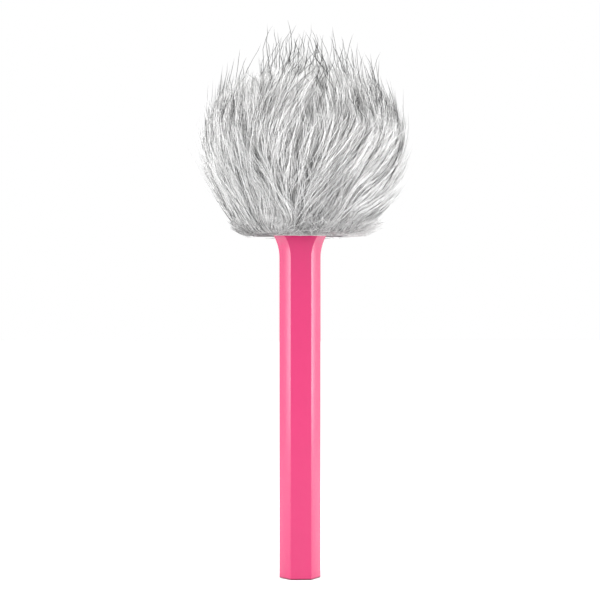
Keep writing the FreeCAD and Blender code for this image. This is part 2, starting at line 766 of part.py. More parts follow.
def tx_mic_mesh():
    foot = f"{TX_TOP} - mesh_inset - mesh_thickness"
    mesh = rod("tx_mic_mesh", "mesh_radius", ("-mic_offset", "port_axis_depth", foot), "mesh_thickness")
    mesh.Label = "tx_mic_mesh"
    return mesh


def tx_mic_capsule():
    foot = f"{TX_TOP} - tx_wall - fit_gap - capsule_height"
    capsule = rod("tx_mic_capsule", "capsule_radius", ("-mic_offset", "port_axis_depth", foot),
                  "capsule_height")
    capsule.Label = "tx_mic_capsule"
    return capsule


def tx_capsule_boot():
    """Rubber cup round the capsule."""
    foot = f"{TX_TOP} - tx_wall - fit_gap - boot_height"
    cup = rod("boot_cup", "boot_radius", ("-mic_offset", "port_axis_depth", foot), "boot_height")
    well = rod("boot_well", "capsule_radius + fit_gap",
               ("-mic_offset", "port_axis_depth", f"{TX_TOP} - tx_wall - fit_gap * 2 - capsule_height"),
               "capsule_height + fit_gap")
    boot = cut("tx_capsule_boot", cup, well)
    boot.Label = "tx_capsule_boot"
    return boot


def tx_jack_socket():
    barrel = rod("jack_barrel", "jack_radius",
                 ("jack_offset", "port_axis_depth", f"{TX_TOP} - jack_length"), "jack_length")
    well = rod("jack_well", "jack_hole",
               ("jack_offset", "port_axis_depth", f"{TX_TOP} - jack_length + tx_wall"),
               "jack_length - tx_wall")
    socket = cut("tx_jack_socket", barrel, well)
    socket.Label = "tx_jack_socket"
    return socket


def tx_usb_socket():
    """Charging socket: an oval sleeve with a tongue, open at the right side wall."""
    level = f"{TX_FOOT} + usb_level"
    back = "tx_half_width - usb_length"
    sleeve_plain = box("usb_plain",
                       (back, "port_axis_depth - usb_half_depth", f"{level} - usb_half_height"),
                       ("tx_half_width - fit_gap", "port_axis_depth + usb_half_depth",
                        f"{level} + usb_half_height"))
    sleeve = rounded("usb_sleeve", sleeve_plain, "usb_round", runs_along("x"))
    well_plain = box("usb_well_plain",
                     (f"{back} + usb_back_wall", "port_axis_depth - usb_half_depth + usb_wall",
                      f"{level} - usb_half_height + usb_wall"),
                     ("tx_half_width", "port_axis_depth + usb_half_depth - usb_wall",
                      f"{level} + usb_half_height - usb_wall"))
    well = rounded("usb_well", well_plain, "usb_round - usb_wall", runs_along("x"))
    hollow = cut("usb_hollow", sleeve, well)
    tongue = box("usb_tongue",
                 (f"{back} + usb_back_wall / 2", "port_axis_depth - usb_wall",
                  f"{level} - usb_tongue_half_height"),
                 ("tx_half_width - usb_tongue_inset", "port_axis_depth + usb_wall",
                  f"{level} + usb_tongue_half_height"))
    socket = fused("tx_usb_socket", hollow, tongue)
    socket.Label = "tx_usb_socket"
    return socket


def tx_clip():
    """Spring clip down the back, joined to the case by a bridge near its top."""
    blade = box("clip_blade", ("-clip_half_width", "clip_front", f"{TX_FOOT} + clip_foot"),
                ("clip_half_width", "clip_back", f"{TX_FOOT} + clip_bridge_level + clip_bridge_height"))
    bridge = box("clip_bridge", ("-clip_half_width", "tx_back", f"{TX_FOOT} + clip_bridge_level"),
                 ("clip_half_width", "clip_back", f"{TX_FOOT} + clip_bridge_level + clip_bridge_height"))
    whole = fused("clip_whole", blade, bridge)
    clip = rounded("tx_clip", whole, "clip_round", lies_at("y", "clip_back"))
    clip.Label = "tx_clip"
    return clip


def tx_screws():
    """Four screws that join the two halves of the case from behind."""
    screws = []
    for side, level, spot, height in BOSSES:
        shank = rod(f"tx_shank_{side}_{level}", "tx_screw_radius",
                    (spot, "-tx_front + tx_wall + tx_screw_tip_gap", height),
                    "tx_front - tx_wall - tx_screw_tip_gap + tx_back - tx_screw_head_height", "y")
        head = rod(f"tx_head_{side}_{level}", "tx_screw_head",
                   (spot, "tx_back - tx_screw_head_height", height),
                   "tx_screw_head_height - fit_gap", "y")
        screws.append(fused(f"tx_screw_{side}_{level}", shank, head))
    group = doc.addObject("Part::Compound", "tx_screws")
    group.Links = screws
    group.Label = "tx_screws"
    return group


# ---------------------------------------------------------------- windscreen
def ring(name, foot, height, outer, inner):
    """An upright ring between two rounded rectangles, each (half width, half depth, corner)."""
    body = new_body(name)
    pad(body, slot(body, f"{name}_outer", foot, *outer), height)
    pocket(body, slot(body, f"{name}_inner", foot, *inner), height)
    return body


MOUTH = (MOUTH_HALF_WIDTH, MOUTH_HALF_DEPTH, "mouth_corner")
LINER_OUTSIDE = (LINER_HALF_WIDTH, LINER_HALF_DEPTH, "(mouth_corner + liner_thickness)")
COLLAR_INSIDE = (f"({LINER_HALF_WIDTH} + fit_gap)", f"({LINER_HALF_DEPTH} + fit_gap)",
                 "(mouth_corner + liner_thickness + fit_gap)")
COLLAR_OUTSIDE = (COLLAR_HALF_WIDTH, COLLAR_HALF_DEPTH,
                  "(mouth_corner + liner_thickness + collar_thickness)")


def collar_liner():
    """Soft ring that grips the band of the head."""
    return ring("collar_liner", "liner_foot_level", "liner_height", LINER_OUTSIDE, MOUTH)


def base_collar():
    """Stiff ring under the foam: a round flange with an upright wall round the mouth."""
    body = new_body("base_collar")
    pad(body, circle(body, "flange_outline", "flange_level", "foam_foot_radius"), "flange_thickness")
    pad(body, slot(body, "wall_outline", "flange_level", *COLLAR_OUTSIDE), "collar_height")
    pocket(body, slot(body, "mouth_outline", "flange_level", *COLLAR_INSIDE), "collar_height")
    return body


def windscreen_foam():
    """Foam dome with a blind slot-shaped bore that takes the transmitter."""
    body = new_body("windscreen_foam")
    top = "(foam_shoulder_level + foam_top_arc)"
    flat = "(foam_radius - foam_top_arc)"
    corners = [("0", FOAM_FOOT), ("foam_foot_radius", FOAM_FOOT), ("foam_radius", "foam_waist_level"),
               ("foam_radius", "foam_shoulder_level"), (flat, top), ("0", top)]
    profile = outline(body, "foam_profile", "XZ_Plane", "0", corners,
                      {1: ("foam_foot_arc", 1), 3: ("foam_top_arc", 1)})
    turned(body, profile)
    seat = slot(body, "collar_seat", FOAM_FOOT, f"({COLLAR_HALF_WIDTH} + cover_gap)",
                f"({COLLAR_HALF_DEPTH} + cover_gap)",
                "(mouth_corner + liner_thickness + collar_thickness)")
    pocket(body, seat, "collar_height - flange_thickness + cover_gap")
    bore = slot(body, "foam_bore", FOAM_FOOT, f"({MOUTH_HALF_WIDTH} + foam_bore_gap)",
                f"({MOUTH_HALF_DEPTH} + foam_bore_gap)", "mouth_corner")
    pocket(body, bore, f"{TX_TOP} + headroom - {FOAM_FOOT}")
    return body


def fur_cover():
    """Fur fabric with its pile as one closed solid: a blunt ball, hollow for the foam."""
    body = new_body("fur_cover")
    top = "(fur_shoulder_level + fur_top_arc)"
    flat = "(fur_radius - fur_top_arc)"
    outside = [("0", "fur_foot_level"), ("fur_foot_radius", "fur_foot_level"),
               ("fur_radius", "fur_waist_level"), ("fur_radius", "fur_shoulder_level"),
               (flat, top), ("0", top)]
    turned(body, outline(body, "fur_outside", "XZ_Plane", "0", outside,
                         {1: ("fur_foot_arc", 1), 3: ("fur_top_arc", 1)}))
    hollow_top = "(foam_shoulder_level + foam_top_arc + cover_gap)"
    hollow_flat = "(foam_radius - foam_top_arc)"
    hollow = [("0", "flange_level - cover_gap"),
              ("foam_foot_radius + cover_gap", "flange_level - cover_gap"),
              ("foam_foot_radius + cover_gap", FOAM_FOOT),
              ("foam_radius + cover_gap", "foam_waist_level"),
              ("foam_radius + cover_gap", "foam_shoulder_level"),
              (hollow_flat, hollow_top), ("0", hollow_top)]
    turned(body, outline(body, "fur_hollow", "XZ_Plane", "0", hollow,
                         {2: ("foam_foot_arc", 1), 4: ("foam_top_arc + cover_gap", 1)}),
           "PartDesign::Groove")
    mouth = slot(body, "fur_mouth", "fur_foot_level",
                 f"({MOUTH_HALF_WIDTH} + hem_gap + hem_width + fit_gap)",
                 f"({MOUTH_HALF_DEPTH} + hem_gap + hem_width + fit_gap)", "(mouth_corner + hem_width)")
    pocket(body, mouth, "flange_level - fur_foot_level")
    return body


def hem_elastic():
    """Elastic band sewn round the mouth of the cover."""
    outer = (f"({MOUTH_HALF_WIDTH} + hem_gap + hem_width)", f"({MOUTH_HALF_DEPTH} + hem_gap + hem_width)",
             "(mouth_corner + hem_width)")
    inner = (f"({MOUTH_HALF_WIDTH} + hem_gap)", f"({MOUTH_HALF_DEPTH} + hem_gap)", "mouth_corner")
    height = "flange_level - fur_foot_level - cover_gap"
    return ring("hem_elastic", "fur_foot_level", height, outer, inner)


# ---------------------------------------------------------------- build and write
SUB_PARTS = (handle_shell, end_cap, thread_insert, dock_insert, dock_screws, dock_pad,
             tx_front_housing, tx_rear_housing, tx_screws, tx_clip, tx_light_pipe, tx_power_button,
             tx_pair_button, tx_switches, tx_circuit_board, tx_battery, tx_radio_can, tx_antenna,
             tx_mic_mesh, tx_mic_capsule, tx_capsule_boot, tx_jack_socket, tx_usb_socket,
             collar_liner, base_collar, windscreen_foam, fur_cover, hem_elastic)

finished = [build() for build in SUB_PARTS]
doc.removeObject("Probe")
doc.recompute()

for item in doc.Objects:
    if "Invalid" in item.State or "Error" in item.State:
        raise RuntimeError(f"{item.Name} failed: {item.State}")
for part in finished:
    if part.Shape.isNull() or not part.Shape.isValid():
        raise RuntimeError(f"{part.Label} has no valid shape")

os.makedirs("parts", exist_ok=True)
for part in finished:
    part.Shape.exportStep(f"parts/{part.Label}.step")
    print(part.Label, len(part.Shape.Solids), "solids", round(part.Shape.Volume, 1), "mm3")
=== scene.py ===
import math

import bpy
import numpy as np
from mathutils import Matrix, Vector


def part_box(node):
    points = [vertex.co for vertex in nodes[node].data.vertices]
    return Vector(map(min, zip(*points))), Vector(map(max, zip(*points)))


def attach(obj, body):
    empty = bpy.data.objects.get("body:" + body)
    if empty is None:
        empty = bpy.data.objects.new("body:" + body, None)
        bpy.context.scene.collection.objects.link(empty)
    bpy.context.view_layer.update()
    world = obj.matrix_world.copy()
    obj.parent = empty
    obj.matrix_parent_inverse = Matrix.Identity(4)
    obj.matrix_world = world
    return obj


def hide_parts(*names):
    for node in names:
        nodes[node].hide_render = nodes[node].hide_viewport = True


# Looks of the furry windscreen, its handle and the transmitter inside it. Lengths are in metres.
MM = 0.001

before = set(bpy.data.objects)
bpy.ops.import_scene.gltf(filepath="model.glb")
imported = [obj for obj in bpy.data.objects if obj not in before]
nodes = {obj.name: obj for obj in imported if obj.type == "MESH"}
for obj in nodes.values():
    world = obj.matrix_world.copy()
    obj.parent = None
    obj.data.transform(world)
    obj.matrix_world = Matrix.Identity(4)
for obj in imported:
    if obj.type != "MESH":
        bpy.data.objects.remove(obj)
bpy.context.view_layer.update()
chance = np.random.default_rng(20260)


def box_of(node):
    low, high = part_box(node)
    return np.array(low), np.array(high)


# ------------------------------------------------------------------ places read from the frame
foam_low, foam_high = box_of("windscreen_foam")
cover_low, cover_high = box_of("fur_cover")
hem_low, hem_high = box_of("hem_elastic")
head_low, head_high = box_of("handle_shell")

BACKING = 1.2 * MM                          # knitted backing outside the foam
WALL_RADIUS = foam_high[0] + BACKING
TOP_LEVEL = foam_high[2] + BACKING
FOOT_LEVEL = cover_low[2] + 1.2 * MM
FOOT_RADIUS = WALL_RADIUS - 5.5 * MM
PANEL_RADIUS = FOOT_RADIUS - 4.5 * MM       # base panel under the fur, coloured dark as painted shade
WAIST_LEVEL = FOOT_LEVEL + 24 * MM          # where the backing's wall becomes upright
TOP_ARC = 24 * MM + BACKING


# ------------------------------------------------------------------ small mesh and node helpers
def new_mesh_object(name, points, faces, smooth=True):
    mesh = bpy.data.meshes.new(name)
    mesh.from_pydata([tuple(p) for p in points], [], [tuple(f) for f in faces])
    mesh.update()
    if smooth:
        mesh.shade_smooth()
    piece = bpy.data.objects.new(name, mesh)
    bpy.context.scene.collection.objects.link(piece)
    return piece


class Nodes:
    """A material's node tree with short calls for making and linking nodes."""

    def __init__(self, name):
        self.material = bpy.data.materials.new(name)
        self.material.use_nodes = True
        self.tree = self.material.node_tree
        self.tree.nodes.clear()
        self.surface = self.make("ShaderNodeBsdfPrincipled")
        output = self.make("ShaderNodeOutputMaterial")
        self.link(self.surface.outputs["BSDF"], output.inputs["Surface"])

    def make(self, kind, **settings):
        node = self.tree.nodes.new(kind)
        for key, value in settings.items():
            if key in node.inputs:
                node.inputs[key].default_value = value
            else:
                setattr(node, key, value)
        return node

    def link(self, source, target):
        self.tree.links.new(source, target)

    def set(self, **values):
        for key, value in values.items():
            self.surface.inputs[key.replace("_", " ")].default_value = value

    def feed(self, socket_name, source):
        self.link(source, self.surface.inputs[socket_name])

    def place(self, scale=(1, 1, 1)):
        """Object coordinates in metres, scaled."""
        coordinates = self.make("ShaderNodeTexCoord")
        mapping = self.make("ShaderNodeMapping")
        mapping.inputs["Scale"].default_value = scale
        self.link(coordinates.outputs["Object"], mapping.inputs["Vector"])
        return mapping.outputs["Vector"]

    def noise(self, scale, detail=2.0, where=None, roughness=0.5):
        texture = self.make("ShaderNodeTexNoise", Scale=scale, Detail=detail, Roughness=roughness)
        self.link(where if where is not None else self.place(), texture.inputs["Vector"])
        return texture.outputs["Fac"]

    def ramp(self, source, stops):
        node = self.make("ShaderNodeValToRGB")
        elements = node.color_ramp.elements
        while len(elements) > 1:
            elements.remove(elements[-1])
        elements[0].position, elements[0].color = stops[0][0], (*stops[0][1], 1)
        for position, colour in stops[1:]:
            elements.new(position).color = (*colour, 1)
        self.link(source, node.inputs["Fac"])
        return node.outputs["Color"]

    def spread(self, source, low, high, start=0.0, stop=1.0):
        node = self.make("ShaderNodeMapRange")
        node.inputs["From Min"].default_value = start
        node.inputs["From Max"].default_value = stop
        node.inputs["To Min"].default_value = low
        node.inputs["To Max"].default_value = high
        self.link(source, node.inputs["Value"])
        return node.outputs["Result"]

    def shaded_by_level(self, colour, least, low, high):
        """Painted shade: the colour darkened to a share of itself below the low level, and whole above the high
        one.
        """
        coordinates = self.make("ShaderNodeTexCoord")
        split = self.make("ShaderNodeSeparateXYZ")
        self.link(coordinates.outputs["Object"], split.inputs[0])
        scaled = self.make("ShaderNodeVectorMath", operation="SCALE")
        self.link(colour, scaled.inputs[0])
        self.link(self.spread(split.outputs["Z"], least, 1.0, low, high), scaled.inputs["Scale"])
        return scaled.outputs[0]

    def bump(self, height, depth, strength=1.0, normal=None):
        node = self.make("ShaderNodeBump", Strength=strength, Distance=depth)
        self.link(height, node.inputs["Height"])
        if normal is not None:
            self.link(normal, node.inputs["Normal"])
        return node.outputs["Normal"]


def around(colour, share):
    """Three colours: darker, the colour itself and lighter, for slight unevenness."""
    return [tuple(min(c * (1 + shift), 1.0) for c in colour) for shift in (-share, 0.0, share)]


def plastic(name, colour, roughness, grain_per_m, grain_depth, unevenness=0.06):
    """Moulded plastic or rubber: fine grain, slight colour and gloss unevenness."""
    n = Nodes(name)
    dark, middle, light = around(colour, unevenness)
    patches = n.noise(90, 3)
    n.feed("Base Color", n.ramp(patches, [(0.3, dark), (0.5, middle), (0.7, light)]))
    grain = n.noise(grain_per_m, 2)
    n.feed("Roughness", n.spread(n.noise(260, 3), roughness - 0.06, roughness + 0.06, 0.3, 0.7))
    n.feed("Normal", n.bump(grain, grain_depth))
    return n.material


def metal(name, colour, roughness, streak=(1, 1, 1), streak_scale=900):
    """Drawn or turned metal with fine streaks."""
    n = Nodes(name)
    n.set(Metallic=1.0)
    dark, middle, light = around(colour, 0.1)
    lines = n.noise(streak_scale, 3, n.place(streak))
    n.feed("Base Color", n.ramp(lines, [(0.3, dark), (0.5, middle), (0.7, light)]))
    n.feed("Roughness", n.spread(lines, roughness - 0.08, roughness + 0.1, 0.3, 0.7))
    n.feed("Normal", n.bump(lines, 0.01 * MM))
    return n.material


# ------------------------------------------------------------------ materials of the CAD pieces
def pink_lacquer():
    """Glossy pink, with its flat faces very slightly crowned as moulded faces are, and painted shade
    darkening the rim of its foot, where the contact shadow falls."""
    n = Nodes("pink_lacquer")
    colour = (0.350, 0.0085, 0.078)
    dark, middle, light = around(colour, 0.02)
    colour = n.ramp(n.noise(60, 3), [(0.3, dark), (0.5, middle), (0.7, light)])
    # Painted shade: the colour darkens over the lowest millimetre, round the rim of the foot.
    n.feed("Base Color", n.shaded_by_level(colour, 0.3, 0.4 * MM, 1.1 * MM))
    n.feed("Roughness", n.spread(n.noise(240, 3), 0.22, 0.25, 0.3, 0.7))
    crown = 0.16
    half_depth = head_high[1]
    geometry = n.make("ShaderNodeNewGeometry")
    coordinates = n.make("ShaderNodeTexCoord")
    radial = n.make("ShaderNodeVectorMath", operation="MULTIPLY")
    n.link(coordinates.outputs["Object"], radial.inputs[0])
    radial.inputs[1].default_value = (crown / half_depth, crown / half_depth, 0)
    flat = n.make("ShaderNodeVectorMath", operation="SCALE")
    n.link(geometry.outputs["Normal"], flat.inputs[0])
    flat.inputs["Scale"].default_value = 1 - crown
    total = n.make("ShaderNodeVectorMath", operation="ADD")
    n.link(radial.outputs[0], total.inputs[0])
    n.link(flat.outputs[0], total.inputs[1])
    unit_normal = n.make("ShaderNodeVectorMath", operation="NORMALIZE")
    n.link(total.outputs[0], unit_normal.inputs[0])
    n.feed("Normal", n.bump(n.noise(420, 2), 0.0015 * MM, normal=unit_normal.outputs[0]))
    return n.material


def open_cell_foam():
    n = Nodes("open_cell_foam")
    cells = n.make("ShaderNodeTexVoronoi", Scale=1500.0)
    n.link(n.place(), cells.inputs["Vector"])
    n.feed("Base Color", n.ramp(cells.outputs["Distance"],
                                [(0.0, (0.035, 0.035, 0.037)), (0.6, (0.085, 0.085, 0.09))]))
    n.set(Roughness=0.95)
    n.feed("Normal", n.bump(cells.outputs["Distance"], 0.3 * MM))
    return n.material


def rib_weave(name, colour, ribs_per_m):
    """Elastic webbing: upright ribs crossed by finer threads."""
    n = Nodes(name)
    place = n.place()
    ribs = n.make("ShaderNodeTexWave", Scale=ribs_per_m / 2, wave_type="RINGS", rings_direction="Z")
    n.link(place, ribs.inputs["Vector"])
    threads = n.make("ShaderNodeTexWave", Scale=ribs_per_m, bands_direction="Z")
    n.link(place, threads.inputs["Vector"])
    both = n.make("ShaderNodeMath", operation="MULTIPLY")
    n.link(ribs.outputs["Fac"], both.inputs[0])
    n.link(threads.outputs["Fac"], both.inputs[1])
    dark, middle, light = around(colour, 0.35)
    n.feed("Base Color", n.ramp(both.outputs[0], [(0.0, dark), (0.5, middle), (1.0, light)]))
    n.set(Roughness=0.9)
    n.feed("Normal", n.bump(both.outputs[0], 0.1 * MM))
    return n.material


def wire_mesh():
    """Fine woven wire cloth."""
    n = Nodes("wire_mesh")
    n.set(Metallic=1.0)
    place = n.place()
    waves = []
    for direction in ("X", "Y"):
        wave = n.make("ShaderNodeTexWave", Scale=1100.0, bands_direction=direction)
        n.link(place, wave.inputs["Vector"])
        waves.append(wave.outputs["Fac"])
    woven = n.make("ShaderNodeMath", operation="MAXIMUM")
    n.link(waves[0], woven.inputs[0])
    n.link(waves[1], woven.inputs[1])
    n.feed("Base Color", n.ramp(woven.outputs[0], [(0.45, (0.03, 0.03, 0.03)), (0.75, (0.55, 0.55, 0.56))]))
    n.feed("Roughness", n.spread(woven.outputs[0], 0.7, 0.3))
    n.feed("Normal", n.bump(woven.outputs[0], 0.1 * MM))
    return n.material


def circuit_board():
    n = Nodes("circuit_board")
    tracks = n.make("ShaderNodeTexBrick", Scale=260.0)
    tracks.inputs["Color1"].default_value = (0.012, 0.10, 0.045, 1)
    tracks.inputs["Color2"].default_value = (0.016, 0.13, 0.055, 1)
    tracks.inputs["Mortar"].default_value = (0.03, 0.20, 0.09, 1)
    tracks.inputs["Mortar Size"].default_value = 0.03
    n.link(n.place(), tracks.inputs["Vector"])
    n.feed("Base Color", tracks.outputs["Color"])
    n.set(Roughness=0.35)
    n.feed("Normal", n.bump(tracks.outputs["Fac"], 0.02 * MM))
    return n.material


case_grey = plastic("transmitter_case", (0.016, 0.016, 0.017), 0.5, 4200, 0.02 * MM)
NODE_MATERIALS = {
    "pink": (pink_lacquer(), ["handle_shell"]),
    "dock": (plastic("dock_plastic", (0.035, 0.035, 0.038), 0.5, 3000, 0.03 * MM), ["dock_insert", "end_cap"]),
    "collar": (plastic("collar_plastic", (0.03, 0.03, 0.032), 0.6, 3400, 0.03 * MM), ["base_collar"]),
    "rubber": (plastic("soft_rubber", (0.045, 0.045, 0.047), 0.85, 2600, 0.04 * MM),
               ["dock_pad", "collar_liner", "tx_capsule_boot"]),
    "case": (case_grey, ["tx_front_housing", "tx_rear_housing", "tx_clip"]),
    "key": (plastic("key_plastic", (0.085, 0.085, 0.09), 0.55, 3600, 0.02 * MM),
            ["tx_power_button", "tx_pair_button"]),
    "socket": (plastic("socket_plastic", (0.02, 0.02, 0.02), 0.4, 3000, 0.02 * MM), ["tx_jack_socket"]),
    "lens": (plastic("light_lens", (0.62, 0.72, 0.66), 0.25, 900, 0.01 * MM), ["tx_light_pipe"]),
    "ceramic": (plastic("antenna_ceramic", (0.72, 0.69, 0.6), 0.45, 2400, 0.01 * MM), ["tx_antenna"]),
    "steel": (metal("bright_steel", (0.6, 0.6, 0.61), 0.32), ["dock_screws", "tx_screws", "tx_switches",
                                                             "tx_usb_socket", "tx_mic_capsule"]),
    "can": (metal("tinned_can", (0.66, 0.66, 0.67), 0.36, (1, 1, 8)), ["tx_radio_can"]),
    "cell": (metal("cell_foil", (0.6, 0.6, 0.62), 0.42, (1, 1, 0.2), 300), ["tx_battery"]),
    "brass": (metal("brass", (0.72, 0.5, 0.2), 0.3, (0.2, 0.2, 6)), ["thread_insert"]),
    "mesh": (wire_mesh(), ["tx_mic_mesh"]),
    "board": (circuit_board(), ["tx_circuit_board"]),
    "foam": (open_cell_foam(), ["windscreen_foam"]),
    "elastic": (rib_weave("elastic_webbing", (0.24, 0.24, 0.245), 900), ["hem_elastic"]),
}
for material, names in NODE_MATERIALS.values():
    for node in names:
        for slot in nodes[node].material_slots:
            slot.material = material


# ------------------------------------------------------------------ fur: where hairs stand
def arc_points(centre, radius, start, stop, count):
    """Points of an arc in the upright half plane, angles in degrees from the outward axis."""
    angles = np.radians(np.linspace(start, stop, count))
    return np.stack([centre[0] + radius * np.cos(angles), centre[1] + radius * np.sin(angles)], axis=1)


def backing_outline():
    """Radius and level of the backing, from the base panel's seam out, up and over the crown."""
    rise = WAIST_LEVEL - FOOT_LEVEL
    run = WALL_RADIUS - FOOT_RADIUS
    foot_arc = (run ** 2 + rise ** 2) / (2 * run)
    foot_angle = -math.degrees(math.asin(rise / foot_arc))
    shoulder = TOP_LEVEL - TOP_ARC
    parts = [
        np.array([[PANEL_RADIUS, FOOT_LEVEL], [FOOT_RADIUS - 0.6 * MM, FOOT_LEVEL]]),
        arc_points((WALL_RADIUS - foot_arc, WAIST_LEVEL), foot_arc, foot_angle + 1.5, 0, 24),
        arc_points((WALL_RADIUS - TOP_ARC, shoulder), TOP_ARC, 2, 90, 24),
        np.array([[0.3 * MM, TOP_LEVEL]]),
    ]
    return np.concatenate(parts)


def even_scatter(count, outline, first=0):
    """Roots spread evenly by area over the turned outline, with their outward normals."""
    steps = np.diff(outline, axis=0)
    lengths = np.hypot(steps[:, 0], steps[:, 1])
    middles = (outline[1:, 0] + outline[:-1, 0]) / 2
    areas = np.concatenate([[0.0], np.cumsum(lengths * middles)])
    order = np.arange(first, first + count)
    plastic_ratio = 1.324717957
    along = (0.5 + order / plastic_ratio) % 1.0
    turn = (0.5 + order / plastic_ratio ** 2) % 1.0
    wanted = along * areas[-1]
    segment = np.clip(np.searchsorted(areas, wanted, side="right") - 1, 0, len(steps) - 1)
    share = (wanted - areas[segment]) / (areas[segment + 1] - areas[segment])
    flat = outline[segment] + steps[segment] * share[:, None]
    angle = turn * 2 * math.pi
    direction = np.stack([np.cos(angle), np.sin(angle), np.zeros(count)], axis=1)
    roots = direction * flat[:, :1]
    roots[:, 2] = flat[:, 1]
    slope = steps[segment] / lengths[segment][:, None]
    normals = direction * slope[:, 1:2]
    normals[:, 2] = -slope[:, 0]
    return roots, normals


def wander(points, scale, seed):
    """Smooth unevenness, mostly between -1 and 1, over space: sine waves in mixed directions."""
    own = np.random.default_rng(seed)
    total = np.zeros(points.shape[:-1])
    for _ in range(6):
        direction = own.normal(size=3)
        direction /= np.linalg.norm(direction)
        phase = points @ direction * (2 * math.pi / scale) * own.uniform(0.7, 1.4)
        total += np.sin(phase + own.uniform(0, 2 * math.pi))
    return total / 3.0


def slot_reach(cosine, sine, half, corner):
    """Distance from the axis to a rounded rectangle's edge in one direction."""
    low, high = 0.0, float(np.hypot(half[0], half[1]))
    for _ in range(24):
        middle = (low + high) / 2
        beyond_x = abs(cosine) * middle - (half[0] - corner)
        beyond_y = abs(sine) * middle - (half[1] - corner)
        if beyond_x > 0 and beyond_y > 0:
            inside = math.hypot(beyond_x, beyond_y) < corner
        else:
            inside = beyond_x < corner and beyond_y < corner
        low, high = (middle, high) if inside else (low, middle)
    return low


# ------------------------------------------------------------------ fur: how hairs run
STEPS = 8                                   # straight lengths in each hair
BALL_RADIUS = 52 * MM                       # of the combed pile, at its widest
BALL_WAIST = FOOT_LEVEL + 49 * MM
CROWN_RISE = 40 * MM                        # from the widest level to the top of the dense pile
CROWN_POWER = 1.95
FOOT_DROP = 66 * MM
FOOT_POWER = 1.7
RIGHT_SHIFT = 3.0 * MM                      # the pile is combed a little to the right
SETTLE = 13 * MM                            # rise over which a hair reaches its layer of the pile

# Locks combed on the front, in mm: from (across, above the foot) to (across, above the foot), half
# width, and lift: raised above 0 and sunk below it, with painted light on the raised locks and painted shade on
# the sunk ones.
COMBED_LOCKS = [
    (1, 14, 24, 52, 4.0, 0.65),
    (-15, 54, 4, 86, 5.0, 0.6),
    (-17, 18, -12, 52, 3.5, 0.5),
    (29, 11, 46, 19, 3.5, 0.25),
    (-27, 42, -24, 62, 3.5, 0.4),
    (13, 62, 10, 88, 3.5, 0.3),
    (39, 48, 36, 74, 4.0, 0.0),
    (34, 60, 29, 78, 3.5, 0.2),
    (-8, 10, -23, 36, 4.0, 0.0),
    (8, 13, 17, 28, 3.0, -0.8),
    (19, 30, 34, 52, 3.0, -0.15),
    (-27, 22, -31, 48, 5.5, -0.55),
    (-4, 34, -2, 58, 3.0, -0.3),
    (37, 34, 50, 50, 5.0, -0.7),
    (30, 22, 44, 32, 4.0, -0.7),
    (-18, 68, -11, 88, 4.5, -0.5),
    (8, 84, 9, 100, 3.0, -0.35),
    (5, 58, 6, 80, 3.5, 0.35),
    (27, 70, 27, 90, 4.0, -0.5),
    (-12, 30, -9, 46, 2.5, -0.5),
    (38, 66, 33, 90, 4.0, -0.2),
    (-42, 46, -39, 72, 5.0, 0.4),
]


def unit(vectors):
    return vectors / np.maximum(np.linalg.norm(vectors, axis=-1, keepdims=True), 1e-12)


def ball_shift(level):
    """How far the pile's middle is combed to the right at a level: most of all at its widest."""
    risen = np.clip((level - FOOT_LEVEL) / (BALL_WAIST - FOOT_LEVEL), 0, 1)
    above = np.clip((level - BALL_WAIST) / CROWN_RISE, 0, 1)
    return RIGHT_SHIFT * risen * (1 - 0.8 * above)


def ball_radius(level):
    """Outer radius of the combed pile at a level."""
    above = np.clip((level - BALL_WAIST) / CROWN_RISE, 0, 1)
    below = np.clip((BALL_WAIST - level) / FOOT_DROP, 0, 1)
    upper = (1 - above ** CROWN_POWER) ** (1 / CROWN_POWER)
    lower = (1 - below ** FOOT_POWER) ** (1 / FOOT_POWER)
    return BALL_RADIUS * np.where(level > BALL_WAIST, upper, lower)


def ball_slope(level):
    """How fast the pile's radius grows with height, held to what hairs can follow."""
    step = 0.5 * MM
    return np.clip((ball_radius(level + step) - ball_radius(level - step)) / (2 * step), -0.16, 1.1)


def lock_weights(points):
    """How much each combed lock takes hold of each point, (locks, points), and how far all of them do."""
    front = np.clip(-points[:, 1] / (20 * MM), 0, 1)
    weights = []
    for start_across, start_level, stop_across, stop_level, half_width, lift in COMBED_LOCKS:
        start = np.array([start_across, start_level]) * MM
        run = np.array([stop_across - start_across, stop_level - start_level]) * MM
        place = points[:, [0, 2]] - np.array([0, FOOT_LEVEL]) - start
        share = np.clip(place @ run / (run @ run), 0, 1)
        distance = np.linalg.norm(place - share[:, None] * run, axis=1)
        weights.append(front * np.exp(-(distance / (half_width * MM)) ** 2))
    weights = np.array(weights)
    return weights, np.maximum(weights.sum(axis=0), 1e-9)


def comb(points):
    """Sideways lean of the pile, per unit of rise: along the combed locks and a drift all round."""
    weights, total = lock_weights(points)
    leans = np.array([(lock[2] - lock[0]) / (lock[3] - lock[1]) for lock in COMBED_LOCKS])
    combed = (weights * leans[:, None]).sum(axis=0) / total
    held = np.clip(total * 1.3, 0, 1)
    return 0.30 * wander(points, 62 * MM, 5) * (1 - held) + combed * held


def lock_lift(points):
    """How far the combed locks raise (or sink) the pile at each point."""
    weights, total = lock_weights(points)
    lifts = np.array([lock[5] for lock in COMBED_LOCKS])
    return (weights * lifts[:, None]).sum(axis=0) / np.maximum(total, 1.0)


